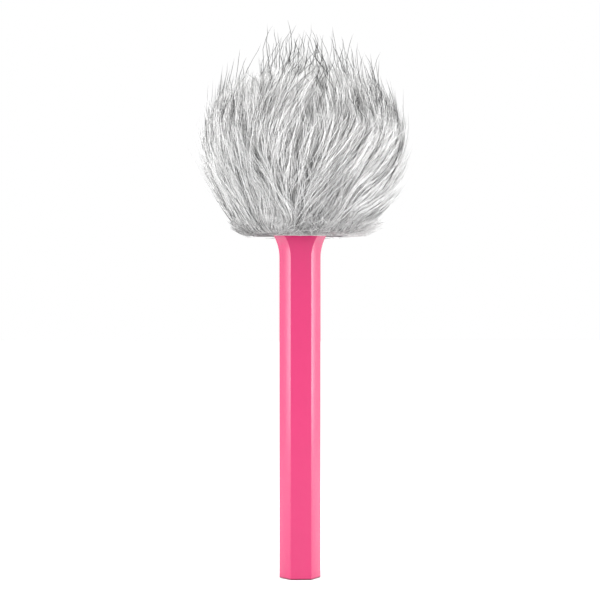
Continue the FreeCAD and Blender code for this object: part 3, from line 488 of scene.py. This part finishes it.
def hair_paths(roots, normals, lengths, layer, shift, wave):
    """Points along each hair, (hairs, STEPS + 1, 3). A hair leaves the backing, settles on its own
    layer of the ball and runs on along it; shift leans it and wave bends it from side to side."""
    paths = np.empty((len(roots), STEPS + 1, 3))
    paths[:, 0] = roots
    to_right = np.clip(roots[:, 0] / FOOT_RADIUS, 0, 1)
    splay = np.clip(1 - (roots[:, 2] - FOOT_LEVEL) / (16 * MM), 0, 1) * (0.12 + 0.33 * to_right ** 2)
    for step in range(STEPS):
        share = (step + 0.5) / STEPS
        here = paths[:, step]
        offset = here[:, :2].copy()
        offset[:, 0] -= ball_shift(here[:, 2])
        distance = np.maximum(np.hypot(offset[:, 0], offset[:, 1]), 1e-6)
        outward = np.stack([offset[:, 0] / distance, offset[:, 1] / distance, np.zeros(len(roots))], axis=1)
        tangent = np.stack([-outward[:, 1], outward[:, 0], np.zeros(len(roots))], axis=1)
        wanted = ball_radius(here[:, 2]) * layer
        lean_out = ball_slope(here[:, 2]) * layer + np.clip((wanted - distance) / SETTLE, -0.10, 1.1)
        lean_out = lean_out + splay
        facing = np.abs(outward[:, 1])
        lean_turn = comb(here) * (0.5 + 0.5 * facing)
        bend = wave[:, 0] * math.cos(2.2 * math.pi * share) + wave[:, 1] * math.sin(2.2 * math.pi * share)
        lean_out = lean_out + shift[:, 0] * share
        lean_turn = lean_turn + shift[:, 1] + bend
        heading = np.array([0.0, 0.0, 1.0]) + outward * lean_out[:, None] + tangent * lean_turn[:, None]
        hold = max(0.0, 1 - share * 5)
        heading = unit(unit(heading) * (1 - 0.5 * hold) + normals * 0.5 * hold)
        paths[:, step + 1] = here + heading * (lengths / STEPS)[:, None]
    return paths


def leaves_ball(points):
    """How far outside the combed ball points are, as a ratio to its radius."""
    distance = np.hypot(points[..., 0] - ball_shift(points[..., 2]), points[..., 1])
    return distance / np.maximum(ball_radius(points[..., 2]), 2 * MM)


def trimmed_length(roots, normals, lengths, layer, shift, wave):
    """Lengths cut to where the hair would leave the ball, which it does only near the crown."""
    paths = hair_paths(roots, normals, lengths, layer, shift, wave)
    low = np.clip((BALL_WAIST - roots[:, 2]) / (BALL_WAIST - FOOT_LEVEL), 0, 1) ** 3
    to_right = np.clip(roots[:, 0] / FOOT_RADIUS, 0, 1) ** 2
    outside = leaves_ball(paths) > (1.04 - 0.02 * low + 0.08 * low * to_right)[:, None]
    outside[:, :2] = False
    first = np.where(outside.any(axis=1), outside.argmax(axis=1), STEPS)
    return lengths * first / STEPS


def nearest(points, centres):
    """Index of the nearest centre to each point."""
    found = np.empty(len(points), dtype=int)
    for first in range(0, len(points), 2000):
        part = points[first:first + 2000]
        distance = ((part[:, None, :] - centres[None, :, :]) ** 2).sum(axis=2)
        found[first:first + 2000] = distance.argmin(axis=1)
    return found


def pile_length(roots):
    """Length of the pile before trimming: longest on the wall."""
    share = np.clip((roots[:, 2] - FOOT_LEVEL) / (TOP_LEVEL - FOOT_LEVEL), 0, 1)
    return np.interp(share, [0.0, 0.1, 0.35, 0.7, 1.0], [34, 46, 52, 44, 24]) * MM


def pile_layer(roots, depth):
    """The layer of the ball a hair settles on; depth 0 is the inside of the pile and 1 its surface."""
    distance = np.hypot(roots[:, 0], roots[:, 1])
    own = np.clip(distance / WALL_RADIUS, 0, 1) ** 0.85
    return own * (0.74 + 0.26 * depth)


def draw_together(paths, guides, owner, grip, spread):
    """Hairs close up on their guide towards the tip."""
    shares = np.linspace(0, 1, STEPS + 1)
    weight = grip[:, None] * shares[None, :] ** 0.9
    target = guides[owner] + spread[:, None, :] * shares[None, :, None]
    return paths * (1 - weight[..., None]) + target * weight[..., None]


def grow(count, first):
    """Roots and normals of one kind of hair, a little off the even pattern."""
    roots, normals = even_scatter(count, OUTLINE, first)
    return roots + chance.normal(0, 0.3 * MM, size=roots.shape), normals


def make_fur():
    """Undercoat in locks and tufts, guard hairs among it and wisps above it: paths and tones."""
    lock_roots, lock_normals = grow(LOCKS, 0)
    tuft_roots, tuft_normals = grow(TUFTS, 11)
    hair_roots, hair_normals = grow(UNDERCOAT_HAIRS, 977)
    guard_roots, guard_normals = grow(GUARD_HAIRS, 55501)

    lock_depth = chance.uniform(0.35, 1.0, LOCKS)
    lock_shift = chance.normal(0, (0.10, 0.13), size=(LOCKS, 2))
    lock_wave = chance.normal(0, 0.10, size=(LOCKS, 2))
    lock_trim = chance.uniform(0.84, 1.08, LOCKS)
    lock_tone = chance.normal(0, 1, LOCKS)

    owner = nearest(tuft_roots, lock_roots)
    tuft_depth = np.clip(lock_depth[owner] + chance.normal(0, 0.14, TUFTS), 0, 1)
    tuft_shift = lock_shift[owner] + chance.normal(0, (0.09, 0.08), size=(TUFTS, 2))
    tuft_wave = lock_wave[owner] * 0.8 + chance.normal(0, 0.07, size=(TUFTS, 2))
    tuft_trim = lock_trim[owner] * chance.uniform(0.88, 1.08, TUFTS)
    tuft_tone = lock_tone[owner] * 0.55 + chance.normal(0, 0.65, TUFTS)
    plain = hair_paths(tuft_roots, tuft_normals, pile_length(tuft_roots) * 0.85,
                       pile_layer(tuft_roots, tuft_depth), tuft_shift, tuft_wave)
    lift = lock_lift(plain[:, 7])
    tuft_depth = np.clip(tuft_depth + 0.38 * lift, 0, 1.05)
    # Painted light and shade: raised locks are drawn lighter and sunk ones darker.
    tuft_tone = tuft_tone * (1 - 0.5 * np.clip(np.abs(lift), 0, 1)) + 0.55 * lift
    tuft_layer = pile_layer(tuft_roots, tuft_depth)
    tuft_length = trimmed_length(tuft_roots, tuft_normals, pile_length(tuft_roots), tuft_layer,
                                 tuft_shift, tuft_wave) * tuft_trim
    tuft_paths = hair_paths(tuft_roots, tuft_normals, tuft_length, tuft_layer, tuft_shift, tuft_wave)

    owner = nearest(hair_roots, tuft_roots)
    depth = np.clip(tuft_depth[owner] + chance.normal(0, 0.16, UNDERCOAT_HAIRS), 0, 1)
    stray = np.where(chance.uniform(0, 1, UNDERCOAT_HAIRS) < 0.12, 3.0, 1.0)
    stray = (stray + 3.0 * matted_patch(hair_roots))[:, None]
    shift = tuft_shift[owner] + stray * chance.normal(0, (0.06, 0.07), size=(UNDERCOAT_HAIRS, 2))
    feathered = (stray[:, 0] > 1) & (chance.uniform(0, 1, UNDERCOAT_HAIRS) < 0.6)
    shift[:, 0] += np.where(feathered, chance.uniform(0.1, 0.75, UNDERCOAT_HAIRS), 0)
    wave = tuft_wave[owner] + stray * chance.normal(0, 0.08, size=(UNDERCOAT_HAIRS, 2))
    length = tuft_length[owner] * chance.uniform(0.72, 1.06, UNDERCOAT_HAIRS)
    paths = hair_paths(hair_roots, hair_normals, length, pile_layer(hair_roots, depth), shift, wave)
    crown = np.clip((hair_roots[:, 2] - BALL_WAIST) / (20 * MM), 0, 1)
    grip = np.clip(chance.uniform(0.15, 0.75, UNDERCOAT_HAIRS) + 0.15 * crown, 0, 0.9) / stray[:, 0]
    spread = chance.normal(0, 0.5 * MM, size=(UNDERCOAT_HAIRS, 3))
    paths = draw_together(paths, tuft_paths, owner, grip, spread)
    tone = tuft_tone[owner] * 0.75 + chance.normal(0, 0.6, UNDERCOAT_HAIRS)

    owner = nearest(guard_roots, tuft_roots)
    guard_shift = tuft_shift[owner] + chance.normal(0, (0.10, 0.13), size=(GUARD_HAIRS, 2))
    guard_wave = tuft_wave[owner] * 0.6 + chance.normal(0, 0.12, size=(GUARD_HAIRS, 2))
    guard_depth = chance.uniform(0.8, 1.06, GUARD_HAIRS)
    guard_length = np.maximum(tuft_length[owner], 14 * MM) * chance.uniform(0.8, 1.12, GUARD_HAIRS)
    guards = hair_paths(guard_roots, guard_normals, guard_length, pile_layer(guard_roots, guard_depth),
                        guard_shift, guard_wave)
    # Painted light and shade on the guard hairs: lighter on the crown, more so towards its sides, and on raised
    # locks; darker on sunk locks.
    guard_high = np.clip((guard_roots[:, 2] - BALL_WAIST) / (24 * MM), 0, 1)
    guard_side = np.clip((np.abs(guard_roots[:, 0]) - 20 * MM) / (12 * MM), 0, 1)
    guard_tone = chance.uniform(0, 1, GUARD_HAIRS) + 0.25 * lift[owner] + guard_high * (0.4 + 0.3 * guard_side)
    guard_tone = np.clip(guard_tone, 0, 1)

    # Painted shade and light on the undercoat: darker towards the foot, more so at the lower left and lower right
    # and in the matted patch; lighter on the crown and its upper sides.
    low = np.clip(1 - (hair_roots[:, 2] - FOOT_LEVEL) / (34 * MM), 0, 1)
    left_foot_shade = np.exp(-((hair_roots[:, 0] + 24 * MM) / (12 * MM)) ** 2)
    low = low * (1 + 0.8 * left_foot_shade + 2.4 * np.clip((hair_roots[:, 0] - 10 * MM) / (25 * MM), 0, 1))
    high = np.clip((hair_roots[:, 2] - FOOT_LEVEL - 26 * MM) / (34 * MM), 0, 1)
    shoulder = high * np.clip((np.abs(hair_roots[:, 0]) - 20 * MM) / (12 * MM), 0, 1)
    tone = 0.62 + tone * 0.19 - 0.5 * matted_patch(hair_roots) - 0.17 * low + 0.22 * high + 0.15 * shoulder
    tone = np.clip(tone, 0.0, 0.80)
    return (paths, tone), (guards, guard_tone), make_wisps(), make_skirt(), make_mat()


def matted_patch(roots):
    """Share of each root in the matted pile just above the handle, front and back, which is drawn darker as
    painted shade where the pile meets the handle.
    """
    across = np.exp(-((roots[:, 0] - 2 * MM) / (9 * MM)) ** 2)
    low = np.clip(1.5 - (roots[:, 2] - FOOT_LEVEL) / (12 * MM), 0, 1)
    return across * low


def make_mat():
    """Short tangled hairs that stand out of the matted patch."""
    roots, normals = grow(MAT_TRIES, 120001)
    kept = chance.uniform(0, 1.5, MAT_TRIES) < matted_patch(roots)
    roots, normals = roots[kept], normals[kept]
    count = len(roots)
    length = chance.uniform(7, 13, count) * MM
    heading = normals + chance.normal(0, 0.5, size=(count, 3)) + np.array([0, 0, 0.25])
    curl = chance.normal(0, 0.9, size=(count, 3))
    paths = np.empty((count, STEPS + 1, 3))
    paths[:, 0] = roots
    for step in range(STEPS):
        way = unit(heading + curl * step / STEPS)
        paths[:, step + 1] = paths[:, step] + way * (length / STEPS)[:, None]
    floor_level = cover_low[2] - 0.4 * MM
    paths[..., 2] = np.maximum(paths[..., 2], floor_level)
    # The mat hairs' dark tone is painted shade where the pile meets the handle.
    return paths, np.clip(chance.normal(0.22, 0.22, count), 0, 1)


def make_skirt():
    """Short hairs that grow out of the foot from the mouth's elastic to the pile, lie out almost
    level and hide the base panel."""
    angle = chance.uniform(0, 2 * math.pi, SKIRT_HAIRS)
    outward = np.stack([np.cos(angle), np.sin(angle), np.zeros(SKIRT_HAIRS)], axis=1)
    tangent = np.stack([-outward[:, 1], outward[:, 0], np.zeros(SKIRT_HAIRS)], axis=1)
    mouth = np.array([slot_reach(c, s, hem_high[:2] + 0.4 * MM, 3.6 * MM) for c, s in outward[:, :2]])
    place = chance.uniform(0, 1, SKIRT_HAIRS) ** 0.8
    roots = outward * (mouth + (FOOT_RADIUS - mouth) * place)[:, None]
    roots[:, 2] = cover_low[2] + (0.5 + 5.5 * place ** 1.5) * MM
    to_right = np.clip(outward[:, 0], 0, 1) ** 2
    length = chance.uniform(6, 11.5, SKIRT_HAIRS) * MM * (1 + 0.7 * to_right * place)
    drift = 0.5 * wander(roots, 14 * MM, 31) + chance.normal(0, 0.35, SKIRT_HAIRS)
    dip = chance.uniform(-0.35, 0.05, SKIRT_HAIRS) * (1 - 0.7 * place)
    rise = chance.uniform(0.6, 2.4, SKIRT_HAIRS) * (1 - 0.7 * to_right)
    paths = np.empty((SKIRT_HAIRS, STEPS + 1, 3))
    paths[:, 0] = roots
    for step in range(STEPS):
        share = step / STEPS
        heading = outward + tangent * (drift * share)[:, None]
        heading[:, 2] = dip * (1 - share) + rise * share
        paths[:, step + 1] = paths[:, step] + unit(heading) * (length / STEPS)[:, None]
    # The skirt's low tone is painted shade under the pile, darker still near the mouth on the left and in the
    # matted patch.
    tone = chance.normal(0.42, 0.24, SKIRT_HAIRS) + 0.12 * wander(roots, 8 * MM, 32)
    tone -= 0.35 * (1 - place) * np.clip(-outward[:, 0], 0, 1)
    return paths, np.clip(tone - 0.3 * matted_patch(roots), 0, 1)


def make_wisps():
    """Long single hairs that stand out of the dense pile, most of them on the crown."""
    roots, normals = grow(4 * WISPS, 90001)
    height = (roots[:, 2] - FOOT_LEVEL) / (TOP_LEVEL - FOOT_LEVEL)
    crowding = wander(roots, 13 * MM, 77) + 1.3 * np.clip(-lock_lift(roots + normals * 8 * MM), 0, 1)
    wanted = np.clip((height - 0.36) * 2.1, 0.06, 0.75) * np.clip(1.8 * crowding, 0.06, 1.3)
    kept = chance.uniform(0, 1, len(roots)) < wanted
    roots, normals = roots[kept], normals[kept]
    count = len(roots)
    shift = np.stack([chance.normal(0.02, 0.20, count), chance.normal(0, 0.24, count)], axis=1)
    wave = chance.normal(0, 0.28, size=(count, 2))
    layer = pile_layer(roots, chance.uniform(0.7, 1.1, count))
    inside = trimmed_length(roots, normals, pile_length(roots), layer, shift, wave)
    length = inside + chance.uniform(6, 26, count) * MM * np.clip(1.3 * height[kept], 0.3, 1)
    paths = hair_paths(roots, normals, length, layer, shift, wave)
    kinks = np.cumsum(chance.normal(0, 0.45 * MM, size=paths.shape), axis=1)
    return paths + kinks - kinks[:, :1], chance.uniform(0, 1, count)


# ------------------------------------------------------------------ fur: hairs as closed meshes
SIDES = 3
TONES = 48         # columns of the hair palette
PALETTE = "OFBake"
SIDE_REACH = cover_high[0] + 10.8 * MM      # how far single hairs may stand out, sideways and up
TOP_REACH = cover_high[2] + 15.5 * MM


def hair_mesh(name, paths, tones, root_radius, tip_radius, material):
    """Tapered three-sided hairs, without those that would stray past the pile's farthest reach. The
    UV layer holds tone across and place along the hair."""
    kept = (np.abs(paths[..., :2]).max(axis=(1, 2)) < SIDE_REACH) & (paths[..., 2].max(axis=1) < TOP_REACH)
    paths, tones = paths[kept], tones[kept]
    count = len(paths)
    rings = paths.shape[1] - 1
    along = np.gradient(paths, axis=1)
    along = unit(along)
    reference = unit(np.cross(along, np.array([0.31, 0.52, 0.8])))
    other = np.cross(along, reference)
    shares = np.linspace(0, 1, rings + 1)[:rings]
    radius = root_radius + (tip_radius - root_radius) * shares ** 1.5
    angles = np.arange(SIDES) * 2 * math.pi / SIDES
    circle = (reference[:, :rings, None, :] * np.cos(angles)[None, None, :, None]
              + other[:, :rings, None, :] * np.sin(angles)[None, None, :, None])
    shell = paths[:, :rings, None, :] + circle * radius[None, :, None, None]
    shell = shell.reshape(count, rings * SIDES, 3)
    points = np.concatenate([shell, paths[:, rings:, :]], axis=1)
    per_hair = rings * SIDES + 1

    quads, quad_uv = [], []
    for ring in range(rings - 1):
        for side in range(SIDES):
            following = (side + 1) % SIDES
            low, high = ring * SIDES, (ring + 1) * SIDES
            quads.append([low + side, low + following, high + following, high + side])
            start, stop = ring / rings, (ring + 1) / rings
            quad_uv.append([(0, start), (1, start), (1, stop), (0, stop)])
    tips, tip_uv = [], []
    last = (rings - 1) * SIDES
    for side in range(SIDES):
        tips.append([last + side, last + (side + 1) % SIDES, rings * SIDES])
        tip_uv.append([(0, (rings - 1) / rings), (1, (rings - 1) / rings), (0.5, 1)])
    tips.append([2, 1, 0])
    tip_uv.append([(0, 0), (1, 0), (0.5, 0.5 / rings)])

    offsets = (np.arange(count) * per_hair)[:, None, None]
    quad_corners = (np.array(quads)[None] + offsets).reshape(-1)
    tip_corners = (np.array(tips)[None] + offsets).reshape(-1)
    quad_count, tip_count = count * len(quads), count * len(tips)
    mesh = bpy.data.meshes.new(name)
    mesh.vertices.add(count * per_hair)
    mesh.vertices.foreach_set("co", points.astype(np.float32).ravel())
    mesh.loops.add(quad_count * 4 + tip_count * 3)
    mesh.loops.foreach_set("vertex_index", np.concatenate([quad_corners, tip_corners]).astype(np.int32))
    mesh.polygons.add(quad_count + tip_count)
    starts = np.concatenate([np.arange(quad_count) * 4, quad_count * 4 + np.arange(tip_count) * 3])
    mesh.polygons.foreach_set("loop_start", starts.astype(np.int32))

    column = np.floor(np.clip(tones, 0, 0.9999) * TONES)
    uv_parts = []
    for pattern in (quad_uv, tip_uv):
        pattern = np.array(pattern, dtype=float)
        across = (column[:, None, None] + 0.15 + 0.7 * pattern[None, ..., 0]) / TONES
        up = np.broadcast_to(0.02 + 0.96 * pattern[None, ..., 1], across.shape)
        uv_parts.append(np.stack([across, up], axis=-1).reshape(-1))
    layer = mesh.uv_layers.new(name=PALETTE)
    layer.uv.foreach_set("vector", np.concatenate(uv_parts).astype(np.float32))
    mesh.update()
    mesh.validate()
    mesh.shade_smooth()
    mesh.materials.append(material)
    piece = bpy.data.objects.new(name, mesh)
    bpy.context.scene.collection.objects.link(piece)
    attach(piece, "windscreen")
    return piece


def hair_material(name, light, tip, tip_start, tip_full, roughness, sheen=0.35):
    """Colour by tone (dark to light columns) along the root half and by tip stops near the end, with painted shade
    darkening it towards the foot.
    """
    n = Nodes(name)
    layer = n.make("ShaderNodeUVMap", uv_map=PALETTE)
    split = n.make("ShaderNodeSeparateXYZ")
    n.link(layer.outputs["UV"], split.inputs[0])
    body = n.ramp(split.outputs["X"], light)
    end = n.ramp(split.outputs["X"], tip)
    blend = n.spread(split.outputs["Y"], 0, 1, tip_start, tip_full)
    mix = n.make("ShaderNodeMix", data_type="RGBA")
    n.link(blend, mix.inputs["Factor"])
    n.link(body, mix.inputs["A"])
    n.link(end, mix.inputs["B"])
    # Painted shade: the hair darkens towards the foot of the pile.
    n.feed("Base Color", n.shaded_by_level(mix.outputs["Result"], 0.60, FOOT_LEVEL - 2 * MM, FOOT_LEVEL + 14 * MM))
    n.set(Roughness=roughness, Specular_IOR_Level=sheen)
    return n.material


def grey(value, warmth=0.0):
    return (value * (1 + warmth), value, value * (1 - warmth))


OUTLINE = backing_outline()
LOCKS = 520
TUFTS = 5200
UNDERCOAT_HAIRS = 34000
GUARD_HAIRS = 6400
WISPS = 350
SKIRT_HAIRS = 4200
MAT_TRIES = 30000
HAIRS_PER_PIECE = 4300

undercoat_look = hair_material(
    "undercoat_hair",
    [(0.0, grey(0.40)), (0.3, grey(0.64)), (0.6, grey(0.79, 0.004)), (1.0, grey(0.87, 0.004))],
    [(0.0, grey(0.32)), (0.3, grey(0.62)), (0.6, grey(0.80, 0.004)), (1.0, grey(0.88, 0.004))],
    0.45, 1.0, 0.5)
guard_look = hair_material(
    "guard_hair",
    [(0.0, grey(0.07)), (0.5, grey(0.22)), (1.0, grey(0.52))],
    [(0.0, grey(0.02)), (0.5, grey(0.07)), (1.0, grey(0.22))],
    0.3, 0.8, 0.42, 0.2)
wisp_look = hair_material(
    "wisp_hair",
    [(0.0, grey(0.03)), (0.5, grey(0.10)), (1.0, grey(0.40))],
    [(0.0, grey(0.01)), (0.5, grey(0.04)), (1.0, grey(0.16))],
    0.1, 0.6, 0.5, 0.1)

(hair_lines, hair_tones), (guard_lines, guard_tones), (wisp_lines, wisp_tones), skirt, mat = make_fur()
for number, first in enumerate(range(0, len(hair_lines), HAIRS_PER_PIECE), start=1):
    some = slice(first, first + HAIRS_PER_PIECE)
    hair_mesh(f"fur_undercoat_{number}", hair_lines[some], hair_tones[some], 0.16 * MM, 0.05 * MM, undercoat_look)
for number, first in enumerate(range(0, len(guard_lines), HAIRS_PER_PIECE), start=1):
    some = slice(first, first + HAIRS_PER_PIECE)
    hair_mesh(f"fur_guard_hairs_{number}", guard_lines[some], guard_tones[some], 0.13 * MM, 0.06 * MM, guard_look)
hair_mesh("fur_wisps", wisp_lines, wisp_tones ** 2, 0.17 * MM, 0.11 * MM, wisp_look)
hair_mesh("fur_skirt", *skirt, 0.15 * MM, 0.05 * MM, undercoat_look)
hair_mesh("fur_mat", *mat, 0.15 * MM, 0.06 * MM, undercoat_look)


# ------------------------------------------------------------------ fur: the dense wool under the hairs
def wool_material():
    """Streaky wool, with painted shade darkening it towards the foot."""
    n = Nodes("dense_wool")
    streaks = n.noise(420, 4, n.place((1, 1, 0.16)))
    colour = n.ramp(streaks, [(0.3, grey(0.40)), (0.55, grey(0.58)), (0.75, grey(0.76))])
    # Painted shade: the wool darkens towards the foot.
    n.feed("Base Color", n.shaded_by_level(colour, 0.35, FOOT_LEVEL, FOOT_LEVEL + 16 * MM))
    n.set(Roughness=0.95)
    n.feed("Normal", n.bump(streaks, 1.2 * MM))
    return n.material


TURNS = 160        # columns round the windscreen in its turned pieces


def turned_shell(name, outer, inner, lumps):
    """A closed shell between two outlines of (radius, level); lumps swell the outer one."""
    angles = np.arange(TURNS) * 2 * math.pi / TURNS
    circle = np.stack([np.cos(angles), np.sin(angles)], axis=1)
    rows = len(outer)
    layers = []
    for outline in (outer, inner):
        flat = outline[:, None, :1] * circle[None]
        level = np.broadcast_to(outline[:, None, 1:], (rows, TURNS, 1))
        layers.append(np.concatenate([flat, level], axis=2).reshape(-1, 3))
    points = np.concatenate(layers)
    size = rows * TURNS
    away = unit(points[:size] * np.array([1, 1, 0]))
    points[:size] += away * lumps(points[:size])[:, None]
    faces = []
    for base, way in ((0, 1), (size, -1)):
        for row in range(rows - 1):
            for column in range(TURNS):
                following = (column + 1) % TURNS
                low, high = base + row * TURNS, base + (row + 1) * TURNS
                faces.append([low + column, low + following, high + following, high + column][::way])
        faces.append([base + (rows - 1) * TURNS + column for column in range(TURNS)][::way])
    for column in range(TURNS):
        following = (column + 1) % TURNS
        faces.append([column, size + column, size + following, following])
    return new_mesh_object(name, points, faces)


def wool_body():
    """The dense woolly base of the pile: a lumpy closed shell just outside the foam."""
    steps = np.diff(OUTLINE, axis=0)
    slope = unit(np.concatenate([steps, steps[-1:]]))
    normal = np.stack([slope[:, 1], -slope[:, 0]], axis=1)
    share = np.clip((OUTLINE[:, 1] - FOOT_LEVEL) / (8 * MM), 0, 1)
    outer = OUTLINE + normal * (0.3 * MM + 3.0 * MM * share)[:, None]

    def lumps(points):
        fade = np.clip((points[:, 2] - FOOT_LEVEL) / (8 * MM), 0, 1)
        return wander(points, 9 * MM, 21) * 0.6 * MM * fade

    piece = turned_shell("fur_wool", outer, OUTLINE.copy(), lumps)
    piece.data.materials.append(wool_material())
    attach(piece, "windscreen")
    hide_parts("fur_cover")


def base_panel():
    """Knitted panel across the foot, from the mouth's elastic to the fur's seam, coloured dark as painted shade
    under the fur.
    """
    half = hem_high[:2] + 0.1 * MM
    corner = 3.6 * MM
    top, bottom = cover_low[2] + 1.3 * MM, cover_low[2] + 0.25 * MM
    rim_rise = 1.2 * MM
    rings = 9
    points, faces = [], []
    for side in (0, 1):
        for ring in range(rings):
            share = ring / (rings - 1)
            for column in range(TURNS):
                angle = 2 * math.pi * column / TURNS
                cosine, sine = math.cos(angle), math.sin(angle)
                mouth = slot_reach(cosine, sine, half, corner)
                reach = mouth + (PANEL_RADIUS + 0.8 * MM - mouth) * share
                gather = 0.10 * MM * math.sin(column * 2 * math.pi / TURNS * 40) * (1 - share)
                puff = 0.25 * MM * math.sin(math.pi * share)
                level = (top if side else bottom - puff * 0.6 + gather) + rim_rise * share
                points.append((reach * cosine, reach * sine, level))
    size = rings * TURNS
    for base, way in ((0, -1), (size, 1)):
        for ring in range(rings - 1):
            for column in range(TURNS):
                following = (column + 1) % TURNS
                low, high = base + ring * TURNS, base + (ring + 1) * TURNS
                faces.append([low + column, high + column, high + following, low + following][::way])
    for ring, way in ((0, 1), (rings - 1, -1)):
        for column in range(TURNS):
            following = (column + 1) % TURNS
            low = ring * TURNS
            faces.append([low + column, size + low + column, size + low + following, low + following][::way])
    piece = new_mesh_object("fur_base_panel", points, faces)
    # The panel's dark grey is painted shade under the fur.
    piece.data.materials.append(knit("base_knit", (0.16, 0.16, 0.165), 1400))
    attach(piece, "windscreen")


def knit(name, colour, loops_per_m):
    """Plain jersey: rows of small loops."""
    n = Nodes(name)
    place = n.place()
    rows = n.make("ShaderNodeTexWave", Scale=loops_per_m / 3, bands_direction="X")
    n.link(place, rows.inputs["Vector"])
    columns = n.make("ShaderNodeTexWave", Scale=loops_per_m / 3, bands_direction="Y", Distortion=2.0)
    n.link(place, columns.inputs["Vector"])
    both = n.make("ShaderNodeMath", operation="MULTIPLY")
    n.link(rows.outputs["Fac"], both.inputs[0])
    n.link(columns.outputs["Fac"], both.inputs[1])
    dark, middle, light = around(colour, 0.4)
    n.feed("Base Color", n.ramp(both.outputs[0], [(0.0, dark), (0.5, middle), (1.0, light)]))
    n.set(Roughness=0.95)
    n.feed("Normal", n.bump(both.outputs[0], 0.12 * MM))
    return n.material


wool_body()
base_panel()


# ------------------------------------------------------------------ floor, light and camera
def floor():
    half = 6.0
    plane = new_mesh_object("floor", [(-half, -half, 0), (half, -half, 0), (half, half, 0), (-half, half, 0)],
                            [(0, 1, 2, 3)], smooth=False)
    n = Nodes("floor_paper")
    n.feed("Base Color", n.ramp(n.noise(3, 2), [(0.3, (0.93, 0.93, 0.93)), (0.7, (0.95, 0.95, 0.95))]))
    n.set(Roughness=0.9)
    plane.data.materials.append(n.material)


def softbox(name, place, width, height, power):
    lamp = bpy.data.lights.new(name, "AREA")
    lamp.shape = "RECTANGLE"
    lamp.size = width
    lamp.size_y = height
    lamp.energy = power
    holder = bpy.data.objects.new(name, lamp)
    bpy.context.scene.collection.objects.link(holder)
    holder.location = place
    aim(holder, AIM)


def aim(holder, target):
    direction = Vector(target) - Vector(holder.location)
    holder.rotation_euler = direction.to_track_quat("-Z", "Y").to_euler()


ROOM_LIGHT = 1.35          # radiance of the white room; the camera sees its walls as plain white
AIM = (0, 0, 0.2)


def around_object(bearing, elevation, distance):
    """A place seen from the aim point; the bearing is in degrees from the front towards +X."""
    turn, tilt = math.radians(bearing), math.radians(elevation)
    flat = distance * math.cos(tilt)
    return (AIM[0] + flat * math.sin(turn), AIM[1] - flat * math.cos(turn), AIM[2] + distance * math.sin(tilt))


def studio():
    """A white room, two key softboxes in front a little below the aim, two at the sides, one overhead
    and two narrow upright ones a little behind the object, which light the handle's slanted faces."""
    world = bpy.data.worlds.new("studio")
    bpy.context.scene.world = world
    world.use_nodes = True
    tree = world.node_tree
    background = tree.nodes["Background"]
    background.inputs["Color"].default_value = (1, 1, 1, 1)
    path = tree.nodes.new("ShaderNodeLightPath")
    strength = tree.nodes.new("ShaderNodeMapRange")
    strength.inputs["To Min"].default_value = ROOM_LIGHT
    strength.inputs["To Max"].default_value = 1.0
    tree.links.new(path.outputs["Is Camera Ray"], strength.inputs["Value"])
    tree.links.new(strength.outputs["Result"], background.inputs["Strength"])
    softbox("left_key", around_object(-42, -2, 1.1), 0.6, 0.3, 3.9)
    softbox("right_key", around_object(42, -2, 1.1), 0.6, 0.3, 3.9)
    softbox("left_side", around_object(-76, 4, 1.1), 0.5, 0.5, 8.5)
    softbox("right_side", around_object(76, 4, 1.1), 0.5, 0.5, 8.5)
    softbox("top", around_object(0, 62, 1.1), 0.7, 0.7, 4.5)
    softbox("left_edge", around_object(-106, 4, 0.8), 0.14, 0.46, 1.3)
    softbox("right_edge", around_object(111, 4, 0.8), 0.14, 0.46, 1.45)


VIEW_DISTANCE = 1.06
VIEW_LEVEL = 0.148
VIEW_YAW = math.radians(3.2)
FOCAL_LENGTH = 119.4


def camera():
    lens = bpy.data.cameras.new("camera")
    lens.lens = FOCAL_LENGTH
    lens.sensor_width = 36
    lens.clip_start = 0.01
    holder = bpy.data.objects.new("camera", lens)
    bpy.context.scene.collection.objects.link(holder)
    holder.location = (-VIEW_DISTANCE * math.sin(VIEW_YAW), -VIEW_DISTANCE * math.cos(VIEW_YAW), VIEW_LEVEL)
    aim(holder, (0, 0, VIEW_LEVEL))
    bpy.context.scene.camera = holder


floor()
studio()
camera()
view = bpy.context.scene.view_settings
view.view_transform = "Standard"
